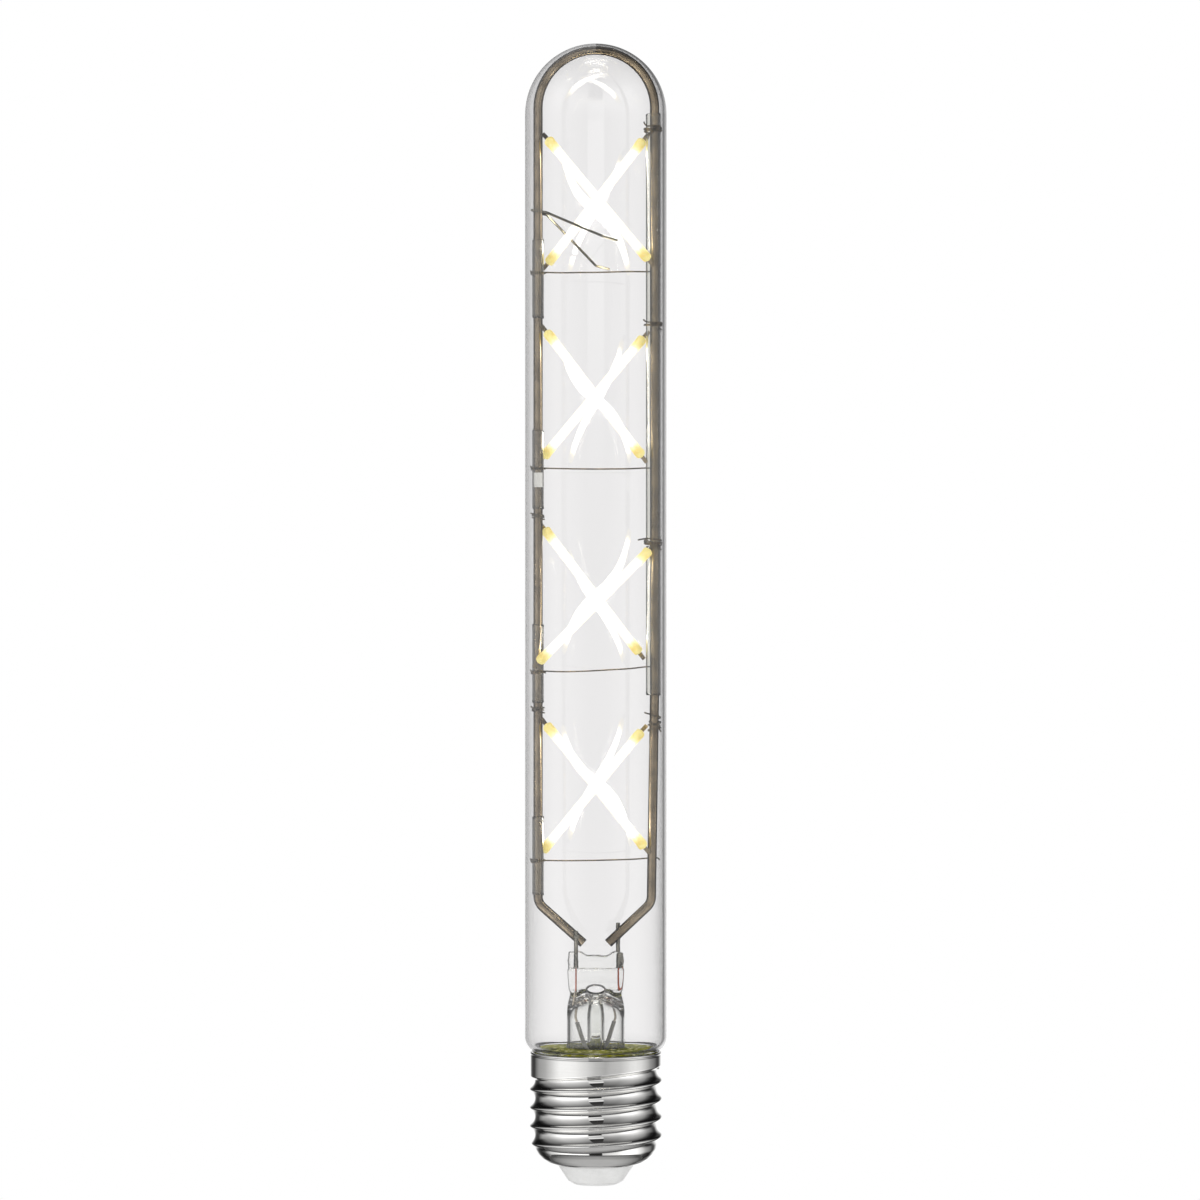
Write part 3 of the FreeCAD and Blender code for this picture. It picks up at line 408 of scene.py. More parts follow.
def circleRow(radius, height, segments):
    if radius < 1e-6:
        return [(0, 0, height)]
    turns = [math.tau * step / segments for step in range(segments)]
    return [(radius * math.cos(turn), radius * math.sin(turn), height) for turn in turns]


def arcPoints(across, height, radius, start, end, steps):
    turns = [math.radians(start + (end - start) * step / steps) for step in range(steps + 1)]
    return [(across + radius * math.cos(turn), height + radius * math.sin(turn)) for turn in turns]


def boxOf(node):
    low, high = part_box(node)
    return low / mm, high / mm


def wireRows(path, radius, sides, tip=0.05):
    # Loops round a path of points, turned as little as possible from one to the next, with pointed
    # tips. The radius may change along the path.
    rows = []
    way = (path[1] - path[0]).normalized()
    across = way.orthogonal().normalized()
    for place, point in enumerate(path):
        before = path[max(place - 1, 0)]
        after = path[min(place + 1, len(path) - 1)]
        turned = (after - before).normalized()
        across = (way.rotation_difference(turned) @ across).normalized()
        way = turned
        beside = way.cross(across)
        size = radius(place / (len(path) - 1)) if callable(radius) else radius
        turns = [math.tau * side / sides for side in range(sides)]
        rows.append([point + across * size * math.cos(turn) + beside * size * math.sin(turn)
                     for turn in turns])
    if tip:
        rows.insert(0, [path[0] - (path[1] - path[0]).normalized() * tip])
        rows.append([path[-1] + (path[-1] - path[-2]).normalized() * tip])
    return rows


def softPath(corners, steps=6):
    # A smooth line through the corners
    path = []
    padded = [corners[0] * 2 - corners[1]] + corners + [corners[-1] * 2 - corners[-2]]
    for first, start, end, last in zip(padded, padded[1:], padded[2:], padded[3:]):
        for step in range(steps):
            share = step / steps
            path.append(0.5 * (
                start * 2 + (end - first) * share
                + (first * 2 - start * 5 + end * 4 - last) * share ** 2
                + (start * 3 - first - end * 3 + last) * share ** 3
            ))
    path.append(corners[-1])
    return path


# Glass tube with its dome and bent-in foot
def makeEnvelope():
    shape = {
        "segments": 200, "wall": 0.7, "domeWall": 0.35, "bend": 3.0, "footInset": 1.6, "footLift": 0.02,
        "footWidth": (0.5, 0.4), "insideTurn": -80, "domeSteps": 40, "tubeSteps": 60, "bendSteps": 14,
    }
    low, high = boxOf("glass_envelope")
    radius = high.x
    inner = radius - shape["wall"]
    across = radius - shape["bend"]
    dome = high.z - radius
    innerDome = dome + shape["wall"] - shape["domeWall"]
    bendHeight = low.z + math.sqrt(shape["bend"] ** 2 - shape["footInset"] ** 2)
    footTurn = -math.degrees(math.acos(shape["footInset"] / shape["bend"]))
    footHeight = low.z + shape["footLift"]
    count = shape["tubeSteps"]
    outline = arcPoints(0, dome, radius, 90, 0, shape["domeSteps"])
    outline += [(radius, dome + (bendHeight - dome) * step / count) for step in range(1, count)]
    outline += arcPoints(across, bendHeight, shape["bend"], 0, footTurn, shape["bendSteps"])
    outerFoot, innerFoot = shape["footWidth"]
    outline += [(across + shape["footInset"] - outerFoot, footHeight), (across + innerFoot, footHeight)]
    outline += arcPoints(across, bendHeight, shape["bend"] - shape["wall"], shape["insideTurn"], 0,
                         shape["bendSteps"])
    outline += [(inner, bendHeight + (innerDome - bendHeight) * step / count) for step in range(1, count)]
    outline += arcPoints(0, innerDome, inner, 0, 90, shape["domeSteps"])
    rows = [circleRow(max(size, 0), height, shape["segments"]) for size, height in outline]
    addPiece("glassTube", *skin(rows), "clear_glass", ["glass_envelope"])


# Stem pressed flat round the leads, with its flare and exhaust tube
def makeStem():
    shape = {
        "segments": 120, "body": 5.7, "bore": 5.15, "exhaust": 1.7, "exhaustTip": 17.5,
        # Top edge, with a horn beside each lead
        "top": 45.5, "collar": 0.85, "middle": 0.25, "hornFrom": 1.6, "hornOver": 2.4, "lump": 0.12,
        "topHalf": 5.4, "topDeep": 1.93, "topSteps": 12, "topRound": 0.4,
        # Pressed part: height, half width, half depth, and how square the section is
        "sides": [
            (45.1, 5.45, 1.95, 6), (44.2, 5.6, 2.0, 6), (43.4, 5.45, 1.95, 6), (42.75, 5.5, 1.9, 7),
            (42.35, 5.6, 2.4, 12), (41.0, 5.55, 2.3, 12), (39.8, 5.45, 2.35, 12), (38.7, 5.35, 2.5, 10),
            (38.1, 5.15, 2.8, 5), (37.3, 5.15, 3.4, 3.4), (36.3, 5.4, 4.3, 2.5), (35.3, 5.6, 5.0, 2.1),
            (34.3, 5.7, 5.55, 2.0), (33.3, 5.7, 5.7, 2.0),
        ],
        "sideSteps": 4,
        # Bore of the exhaust tube, as radius and height, and the bubble that it ends in
        "hole": [(0, 18.6), (0.5, 18.75), (0.9, 19.3), (1.25, 20.2), (1.25, 37.4), (0.9, 38.1), (0, 38.4)],
        "bubble": {"half": 2.1, "deep": 4.6, "tall": 1.15, "height": 38.4, "steps": 24},
        "cutSegments": 40, "sharp": 50,
    }
    flare = boxOf("glass_stem")[1].x
    turns = [math.tau * step / shape["segments"] for step in range(shape["segments"])]

    def flat(height, half, deep, power):
        row = []
        for turn in turns:
            cosine, sine = math.cos(turn), math.sin(turn)
            row.append([
                math.copysign(half * abs(cosine) ** (2 / power), cosine),
                math.copysign(deep * abs(sine) ** (2 / power), sine), height,
            ])
        return row

    def topHeight(across):
        rise = min(max((abs(across - shape["middle"]) - shape["hornFrom"]) / shape["hornOver"], 0), 1)
        rise = rise * rise * (3 - 2 * rise)
        lumps = shape["lump"] * math.sin(across * 2.1 + 0.8)
        return shape["top"] + shape["collar"] * (rise - 0.35) + lumps

    rows = [[(0, 0, topHeight(0))]]
    for step in range(1, shape["topSteps"] + 1):
        share = math.sin(math.pi / 2 * step / shape["topSteps"])
        drop = shape["topRound"] * (1 - math.sqrt(1 - share ** 10 * 0.98))
        row = flat(0, shape["topHalf"] * share, shape["topDeep"] * share, 2 + 4 * share)
        rows.append([(x, y, topHeight(x) - drop) for x, y, _ in row])
    for first, second in zip(shape["sides"], shape["sides"][1:]):
        for step in range(shape["sideSteps"]):
            share = step / shape["sideSteps"]
            rows.append(flat(*[start + (end - start) * share for start, end in zip(first, second)]))
    body, bore, exhaust = shape["body"], shape["bore"], shape["exhaust"]
    # Down the outside and over the top of the flare
    outline = [(body, 33.3 - step) for step in range(5)]
    outline += [(body, 28.4), (5.72, 27.6), (5.8, 26.8), (6.1, 26.42), (6.8, 26.34), (9.0, 26.32)]
    outline += [(11.2, 26.32), (11.9, 26.3), (flare - 0.1, 26.28), (flare, 26.2), (flare - 0.1, 26.12)]
    # Back under the flare and up the bore
    outline += [(11.9, 26.06), (11.0, 26.03), (9.5, 26.03), (7.4, 26.05), (6.0, 26.12), (5.3, 26.3)]
    outline += [(5.18, 26.8), (bore, 27.6), (bore, 29.0)]
    outline += [(bore, 30.0 + step) for step in range(4)]
    # Over to the exhaust tube and down to its drawn tip
    outline += [(4.95, 34.3), (4.45, 35.3), (3.6, 36.2), (2.7, 36.8), (2.1, 36.8), (exhaust, 36.3)]
    outline += [(exhaust, 35.0 - step * 1.5) for step in range(11)]
    outline += [(1.62, 19.0), (1.4, 18.3), (0.9, 17.75), (0.4, 17.55), (0, shape["exhaustTip"])]
    rows += [circleRow(across, height, shape["segments"]) for across, height in outline]
    stem = addPiece("stem", *skin(rows), "stem_glass", ["glass_stem"])

    sides = shape["cutSegments"]
    hole = skin([circleRow(across, height, sides) for across, height in shape["hole"]])
    bubble = shape["bubble"]
    loops = []
    for step in range(bubble["steps"] + 1):
        turn = math.pi * step / bubble["steps"]
        half, tall = bubble["half"] * math.sin(turn), bubble["tall"] * math.sin(turn)
        angles = [math.tau * side / sides for side in range(sides)] if 0 < step < bubble["steps"] else [0]
        loops.append([(half * math.cos(side), bubble["deep"] * math.cos(turn),
                       bubble["height"] + tall * math.sin(side)) for side in angles])
    for number, surface in enumerate((hole, skin(loops))):
        cutter = addSolid(f"stemCut{number}", *surface)
        cut = stem.modifiers.new(cutter.name, "BOOLEAN")
        cut.operation = "DIFFERENCE"
        cut.solver = "EXACT"
        cut.object = cutter
        bpy.context.view_layer.update()
        done = bpy.data.meshes.new_from_object(stem.evaluated_get(bpy.context.evaluated_depsgraph_get()))
        stem.modifiers.clear()
        stem.data = done
        bpy.data.objects.remove(cutter)
    stem.data.polygons.foreach_set("use_smooth", [True] * len(stem.data.polygons))
    stem.data.set_sharp_from_angle(angle=math.radians(shape["sharp"]))


# Glass sleeves with slanted, chipped ends
def makeSleeves():
    shape = {
        "segments": 40, "leftBore": 0.96, "rightWall": 0.25, "seed": 11, "slant": (0.1, 0.28), "chip": 0.05,
        "rounding": 0.35, "endLength": 0.6,
    }
    chips = random.Random(shape["seed"])
    names = [f"left_sleeve_{place}" for place in range(1, 5)] + ["right_sleeve_upper", "right_sleeve_lower"]
    for name in names:
        low, high = boxOf(name)
        middle = (low + high) / 2
        radius = (high.x - low.x) / 2
        bore = shape["leftBore"] if name.startswith("left") else radius - shape["rightWall"]
        slants = []
        for end in range(2):
            slants.append((chips.uniform(*shape["slant"]), chips.uniform(0, math.tau), chips.uniform(0, 9)))

        def row(size, end, inset):
            slant, facing, seed = slants[end]
            inward = 1 if end == 0 else -1
            level = (low.z if end == 0 else high.z) + inward * inset
            points = []
            for step in range(shape["segments"]):
                turn = math.tau * step / shape["segments"]
                x, y = size * math.cos(turn), size * math.sin(turn)
                ragged = 1 + noise.noise(Vector((x, y, seed)) * 1.7)
                chip = slant * (1 + math.cos(turn - facing)) / 2 + shape["chip"] * ragged
                points.append((middle.x + x, middle.y + y, level + inward * chip))
            return points

        edge = (radius - bore) * shape["rounding"]
        deep = shape["endLength"]
        rows = [
            row(bore + edge, 0, 0), row(radius - edge, 0, 0), row(radius, 0, edge), row(radius, 0, deep),
            row(radius, 1, deep), row(radius, 1, edge), row(radius - edge, 1, 0), row(bore + edge, 1, 0),
            row(bore, 1, edge), row(bore, 1, deep), row(bore, 0, deep), row(bore, 0, edge),
        ]
        addPiece(f"{name}_glass", *skin(rows, True), "sleeve_glass", [name])


# Light strips: a lumpy coat of phosphor that shines
def makeStrips():
    shape = {
        "sides": 28, "steps": 90, "length": 31.5, "radius": 0.95, "endRound": 0.8, "lump": 0.05,
        "endLump": 0.16, "lumpAt": 0.9,
    }
    radius, count = shape["radius"], shape["steps"]
    half = shape["length"] / 2
    for number, strip in enumerate(("1a", "1b", "2a", "2b", "3a", "3b", "4a", "4b")):
        low, high = boxOf(f"filament_{strip}")
        middle = (low + high) / 2
        wide, tall = (high.x - low.x) / 2, (high.z - low.z) / 2
        # The lean that puts both round ends in the corners of the strip's box
        lean = math.atan2(wide, tall)
        for _ in range(8):
            lean = math.atan2(wide - radius * math.cos(lean), tall - radius * math.sin(lean))
        if strip.endswith("a"):
            lean = -lean
        rows = [[(0, 0, -half)]]
        for stop in [half * (2 * step / count - 1) for step in range(1, count)]:
            rest = half - abs(stop)
            size = radius * min(1, math.sqrt(max(1 - (1 - min(rest / shape["endRound"], 1)) ** 2, 0.05)))
            near = math.exp(-((rest - shape["lumpAt"]) / shape["lumpAt"]) ** 2)
            row = []
            for side in range(shape["sides"]):
                turn = math.tau * side / shape["sides"]
                x, y = math.cos(turn), math.sin(turn)
                lump = shape["lump"] * noise.noise(Vector((x, y, stop * 0.6 + number * 17)))
                coarse = noise.noise(Vector((x * 1.4, y * 1.4, stop + number * 31)))
                lump += near * shape["endLump"] * (0.35 + coarse)
                row.append((x * size * (1 + lump), y * size * (1 + lump), stop))
            rows.append(row)
        rows.append([(0, 0, half)])
        place = Matrix.Translation(middle * mm) @ Matrix.Rotation(lean, 4, "Y")
        addPiece(f"lightStrip_{strip}", *skin(rows), "light_coat", [f"filament_{strip}"], place)


# Thin wires wound and twisted by hand
def addWire(name, node, corners, radius):
    path = softPath([Vector(corner) for corner in corners])
    addPiece(name, *skin(wireRows(path, radius, 8)), "thin_wire", [node])


def windAround(across, radius, height, start, end, rise, chance):
    # Corners round an upright rod, each a little off its place
    shape = {"cornerAngle": 40, "loose": 0.12, "uneven": 0.14}
    count = max(2, round(abs(end - start) / shape["cornerAngle"]))
    corners = []
    for step in range(count + 1):
        turn = math.radians(start + (end - start) * step / count)
        size = radius + abs(chance.uniform(0, shape["loose"]))
        corners.append((across + size * math.cos(turn), size * math.sin(turn),
                        height + rise * step / count + chance.uniform(-shape["uneven"], shape["uneven"])))
    return corners


def makeThinWires():
    shape = {
        "wire": 0.15, "leftRod": -11.45, "leftSleeve": 1.18, "rod": 0.93, "rightSleeve": (11.4, 1.5),
        "rightRod": 11.66, "secondTurn": 0.1, "secondTie": 0.12, "seeds": (40, 70, 90),
        # Height at the left sleeve and at the right rod, and the sag between
        "crossWires": [(180.15, 180.65, 0.1), (141.55, 141.6, 0.15), (101.25, 102.2, 0.2),
                       (64.0, 64.35, 0.15)],
        # Tail at the left and end at the right, with their heights over the wire's
        "crossTail": [(-12.95, -1.1, 0.42), (-12.7, -0.75, 0.2)], "crossEnd": (12.8, 0.9, -0.3),
        # Windings: height over the wire's, angles from and to, and rise
        "leftTurns": [(0.12, 200, 600, -0.35), (-0.1, 640, 1000, 0.25)], "rightTurn": (140, 60),
        # Free part: its front, where it meets the right rod as shares of the rod's radius, and its waver
        "front": -1.3, "meet": (0.8, 0.7), "waver": 0.03, "freeSteps": 6,
        # Height, turns round the right sleeve, height of the winding, and the ends of its two tails
        "ties": [
            (208.6, 3.2, 1.0, (9.5, -1.6, 209.9), (9.6, -1.5, 207.0)),
            (170.1, 2.6, 0.6, (9.4, -1.7, 170.9), (12.95, -1.2, 168.9)),
            (127.0, 3.0, 1.3, (8.3, -1.9, 127.35), (12.9, -1.3, 125.4)),
            (91.3, 3.6, 3.2, (9.6, -1.5, 93.3), (12.8, -1.5, 89.5)),
        ],
        "tieStart": 225, "tieFront": -1.75, "tieClimb": 0.6,
        "leftTies": {3: 132.2, 4: 94.0}, "leftTieTurn": (0.3, 215, 900, -0.7),
        "leftTieEnds": [(-12.9, -0.9, 0.5), (-10.1, -1.1, -0.8)],
    }
    wire, leftRod, front = shape["wire"], shape["leftRod"], shape["front"]
    crossSeed, tieSeed, leftTieSeed = shape["seeds"]
    sleeves = [boxOf("right_sleeve_upper"), boxOf("right_sleeve_lower")]

    def rightPost(height):
        # Middle and radius of what a wire goes round at this height
        if any(low.z < height < high.z for low, high in sleeves):
            return shape["rightSleeve"]
        return shape["rightRod"], shape["rod"]

    for number, (left, right, sag) in enumerate(shape["crossWires"], 1):
        chance = random.Random(crossSeed + number)
        size = shape["leftSleeve"] + wire
        across, post = rightPost(right)
        post += wire
        corners = [(x, y, left + lift) for x, y, lift in shape["crossTail"]]
        for second, (lift, start, end, rise) in enumerate(shape["leftTurns"]):
            corners += windAround(leftRod, size + shape["secondTurn"] * second, left + lift, start, end,
                                  rise, chance)
        meetAcross, meetBehind = shape["meet"]
        reach = across - post * meetAcross - leftRod - size
        for step in range(1, shape["freeSteps"]):
            share = step / shape["freeSteps"]
            level = left + (right - left) * share - sag * math.sin(math.pi * share)
            corners.append((leftRod + size + reach * share, front + (post * meetBehind - front) * share,
                            level + chance.uniform(-shape["waver"], shape["waver"])))
        corners += windAround(across, post, right, *shape["rightTurn"], 0, chance)
        x, y, lift = shape["crossEnd"]
        corners.append((x, y, right + lift))
        addWire(f"crossWire{number}", f"cross_wire_{number}", corners, wire)

    for number, (height, turns, tall, first, last) in enumerate(shape["ties"], 1):
        chance = random.Random(tieSeed + number)
        across, post = rightPost(height)
        post += wire
        top, foot = height + tall / 2, height - tall / 2
        middle = shape["tieStart"] + 180 * turns
        corners = [first, ((first[0] + across - post) / 2, shape["tieFront"], (first[2] + top) / 2)]
        corners += windAround(across, post, top, shape["tieStart"], middle, -tall, chance)
        corners += windAround(across, post + shape["secondTie"], foot, middle, middle + 180 * turns,
                              tall * shape["tieClimb"], chance)
        corners.append(last)
        addWire(f"tieWire{number}", f"tie_wire_{number}", corners, wire)

    for number, height in shape["leftTies"].items():
        chance = random.Random(leftTieSeed + number)
        first, last = [(x, y, height + lift) for x, y, lift in shape["leftTieEnds"]]
        lift, start, end, rise = shape["leftTieTurn"]
        corners = [first, *windAround(leftRod, shape["rod"] + wire, height + lift, start, end, rise, chance),
                   last]
        addWire(f"leftTie{number}", f"left_tie_{number}", corners, wire)


# Leads between stem and frame, with the lumps left by welding
def makeInnerLeads():
    shape = {
        "steps": 70, "sides": 20, "endInset": 0.05, "weldAt": {"left": 0.84, "right": 0.72}, "weld": 0.3,
        "weldOver": 0.09, "foot": 0.2, "footOver": 0.34, "grain": 0.1,
    }
    for side, weldAt in shape["weldAt"].items():
        low, high = boxOf(f"inner_lead_{side}")
        middle = (low + high) / 2
        start, length = low.z + shape["endInset"], high.z - low.z - 2 * shape["endInset"]
        count = shape["steps"]
        path = [Vector((middle.x, middle.y, start + length * step / count)) for step in range(count + 1)]
        rows = wireRows(path, (high.x - low.x) / 2, shape["sides"])
        for place, row in enumerate(rows[1:-1]):
            share = place / count
            swell = shape["weld"] * math.exp(-((share - weldAt) / shape["weldOver"]) ** 2)
            swell += shape["foot"] * max(0, shape["footOver"] - share) / shape["footOver"]
            for step, point in enumerate(row):
                away = point - path[place]
                grain = noise.noise(Vector((away.x * 2, away.y * 2, point.z * 1.6 + middle.x)))
                lump = swell * (0.6 + 1.6 * abs(grain)) + shape["grain"] * grain
                row[step] = path[place] + away * (0.9 + lump)
        addPiece(f"innerLead_{side}", *skin(rows), "lead_nickel", [f"inner_lead_{side}"])


# Ribbed sleeves on the lower leads
def makeLeadSleeves():
    shape = {
        "radius": 0.45, "bore": 0.3, "rib": 0.5, "deep": 0.07, "steps": 120, "sides": 20, "endInset": 0.1,
    }
    for side in ("left", "right"):
        low, high = boxOf(f"lead_sleeve_{side}")
        length = (high - low).length
        inset = shape["radius"] * (high.z - low.z) / length
        outer, inner = low.x + inset, high.x - inset
        behind, before = high.y - inset, low.y + inset
        if side == "right":
            outer, inner, behind, before = inner, outer, before, behind
        top = Vector((outer, behind, high.z - shape["endInset"]))
        foot = Vector((inner, before, low.z + shape["endInset"]))
        path = [top.lerp(foot, step / shape["steps"]) for step in range(shape["steps"] + 1)]

        def ribbed(share):
            wave = 1 + math.cos(math.tau * share * length / shape["rib"])
            return shape["radius"] - shape["deep"] * wave / 2

        rows = wireRows(path, ribbed, shape["sides"], 0)
        rows += list(reversed(wireRows(path, shape["bore"], shape["sides"], 0)))
        addPiece(f"leadSleeve_{side}", *skin(rows, True), "lead_sleeving", [f"lead_sleeve_{side}"])


# Cement bead pressed out over the flare
def makeCement():
    shape = {"segments": 150, "rough": 0.09, "roughFrom": 5.9, "roughTo": 12, "top": 26.44, "bore": 5.4}
    low, high = boxOf("basing_cement")
    side, foot, top, bore = high.x, low.z, shape["top"], shape["bore"]
    # Up the inside of the cap, over the flat top, and down beside the stem
    outline = [(side - 0.05, foot + 0.1), (side, foot + 0.4), (side, 25.0), (side - 0.1, 25.3)]
    outline += [(12.25, 25.45), (11.9, 25.6), (11.6, 25.9), (11.4, 26.2), (11.2, 26.38), (10.9, top)]
    outline += [(10.4 - 0.6 * step, top) for step in range(7)]
    outline += [(6.2, 26.5), (5.9, 26.6), (5.72, 26.5), (5.6, 26.3), (bore, 26.0)]
    outline += [(bore, foot + 0.2), (bore + 0.1, foot), (9.0, foot)]
    rows = []
    for across, height in outline:
        row = []
        for x, y, z in circleRow(across, height, shape["segments"]):
            spot = Vector((x, y, z))
            lump = shape["rough"] * (noise.noise(spot * 1.1) + noise.noise(spot * 3.7))
            row.append((x, y, z + (lump if shape["roughFrom"] < across < shape["roughTo"] else 0)))
        rows.append(row)
    addPiece("cementBead", *skin(rows, True), "cement", ["basing_cement"])


# Screw cap rolled from thin sheet
def makeCap():
    shape = {
        "segments": 168, "root": 12.03, "crest": 13.05, "pitch": 3.629, "firstCrest": 7.9, "hollow": 2.15,
        "threadFrom": 6.4, "threadFull": 9.0, "collar": 12.88, "collarFoot": 22.3, "collarSlope": 1.1,
        "rim": 26.2, "sheet": 0.3, "step": 0.12,
        # Curled-in foot, as radius and height
        "foot": [(7.6, 3.9), (8.8, 4.15), (9.8, 4.6), (10.7, 5.25), (11.4, 6.05), (11.85, 6.9), (12.03, 7.8)],
        # Bead and grooves round the rim: how deep, and the heights between which each comes and goes
        "bead": 0.07, "groove": 0.12, "beadFrom": (25.75, 25.95), "grooveFrom": (25.45, 25.6),
        "grooveTo": (25.7, 25.85), "rimFrom": (26.05, 26.2), "collarSoft": (0.45, 0.25),
        "smoothings": 5, "ridgeShifts": [-0.07, -0.035, 0, 0.035, 0.07],
    }
    corners = shape["foot"] + [(shape["root"], shape["rim"])]
    outline = []
    for (startRadius, startHeight), (endRadius, endHeight) in zip(corners, corners[1:]):
        count = max(1, round(math.hypot(endRadius - startRadius, endHeight - startHeight) / shape["step"]))
        for step in range(count):
            share = step / count
            outline.append([startRadius + (endRadius - startRadius) * share,
                            startHeight + (endHeight - startHeight) * share])
    outline.append(list(corners[-1]))
    for _ in range(shape["smoothings"]):
        outline = [outline[0]] + [
            [(before[0] + 2 * point[0] + after[0]) / 4, (before[1] + 2 * point[1] + after[1]) / 4]
            for before, point, after in zip(outline, outline[1:], outline[2:])
        ] + [outline[-1]]

    def soft(value, low, high):
        share = min(max((value - low) / (high - low), 0), 1)
        return share * share * (3 - 2 * share)

    def valley(phase):
        # Round hollow between two ridges: 0 at its foot, and its highest at the ridge
        away = (phase + 0.5) % 1 - 0.5
        away = (0.5 - abs(away)) * shape["pitch"]
        return shape["hollow"] - math.sqrt(shape["hollow"] ** 2 - away ** 2)

    # The mean over a few near places rounds the ridge off
    shifts = shape["ridgeShifts"]
    lowest, highest = (sum(valley(middle + shift) for shift in shifts) for middle in (0.5, 0))

    def ridgeHeight(phase):
        return (sum(valley(phase + shift) for shift in shifts) - lowest) / (highest - lowest)

    def skinRow(radius, height, inset):
        bead = shape["bead"] * soft(height, *shape["beadFrom"])
        groove = shape["groove"] * soft(height, *shape["grooveFrom"])
        groove *= 1 - soft(height, *shape["grooveTo"])
        rim = shape["groove"] * soft(height, *shape["rimFrom"])
        thread = (shape["crest"] - shape["root"]) * soft(height, shape["threadFrom"], shape["threadFull"])
        under, over = shape["collarSoft"]
        row = []
        for step in range(shape["segments"]):
            turn = math.tau * step / shape["segments"]
            phase = (height - shape["firstCrest"]) / shape["pitch"] - (turn - math.pi) / math.tau
            foot = shape["collarFoot"] + shape["collarSlope"] * math.cos(turn)
            collar = soft(height, foot - under, foot + over)
            size = radius + thread * ridgeHeight(phase) * (1 - collar)
            size += (shape["collar"] - shape["root"]) * collar + bead - groove - rim - inset
            row.append((size * math.cos(turn), size * math.sin(turn), height))
        return row

    rows = [skinRow(radius, height, 0) for radius, height in outline]
    rows += [skinRow(radius, height, shape["sheet"]) for radius, height in reversed(outline)]
    addPiece("screwCap", *skin(rows, True), "cap_nickel", ["cap_shell"])


makeEnvelope()
makeStem()
makeSleeves()
makeStrips()
makeThinWires()
makeInnerLeads()
makeLeadSleeves()
makeCement()
makeCap()
print("pieces made")


# Floor, light and camera

def makeFloor():
    shape = {
        "radius": 80, "height": -50, "rings": 12, "segments": 128,
        "mirrorFrom": 55, "mirrorTo": 85, "mirrorNear": 0.5, "mirrorFar": 0.08,
    }
    rows = [[(0, 0, shape["height"])]]
    rows += [circleRow(shape["radius"] * (step + 1) / shape["rings"], shape["height"], shape["segments"])
             for step in range(shape["rings"])]
    points, faces = skin(rows)
    mesh = bpy.data.meshes.new("floor")
    mesh.from_pydata([[value * mm for value in point] for point in points], [], faces)
    material, tree, surface, effect = startMaterial("floorPaper", dullGroup, {
        "Base": (0.86, 0.86, 0.86, 1), "Patch": (0.85, 0.85, 0.85, 1), "Speck": (0.88, 0.88, 0.88, 1),
        "Scale": 0.5, "Specks": 0.1, "Rough": 0.7,
    })
    # Painted shade in reflections: where the cap and the glass mirror the floor under and round the lamp, its
    # colour is darkened, more towards its rim
    mirrored = tree.nodes.new("ShaderNodeLightPath").outputs["Glossy Depth"]
    mirrored = mathNode(tree, "MINIMUM", mirrored, 1.0)
    away = addNode(tree, "ShaderNodeVectorMath", operation="LENGTH")
    join(tree, objectPlace(tree), away.inputs[0])
    paintedReflectionShade = spread(tree, away.outputs["Value"], shape["mirrorFrom"] * mm, shape["mirrorTo"] * mm,
                 shape["mirrorNear"], shape["mirrorFar"])
    join(tree, blendColour(tree, mirrored, effect.outputs["Color"], paintedReflectionShade), surface.inputs["Base Color"])
    join(tree, effect.outputs["Roughness"], surface.inputs["Roughness"])
    mesh.materials.append(material)
    floor = bpy.data.objects.new("floor", mesh)
    scene.collection.objects.link(floor)


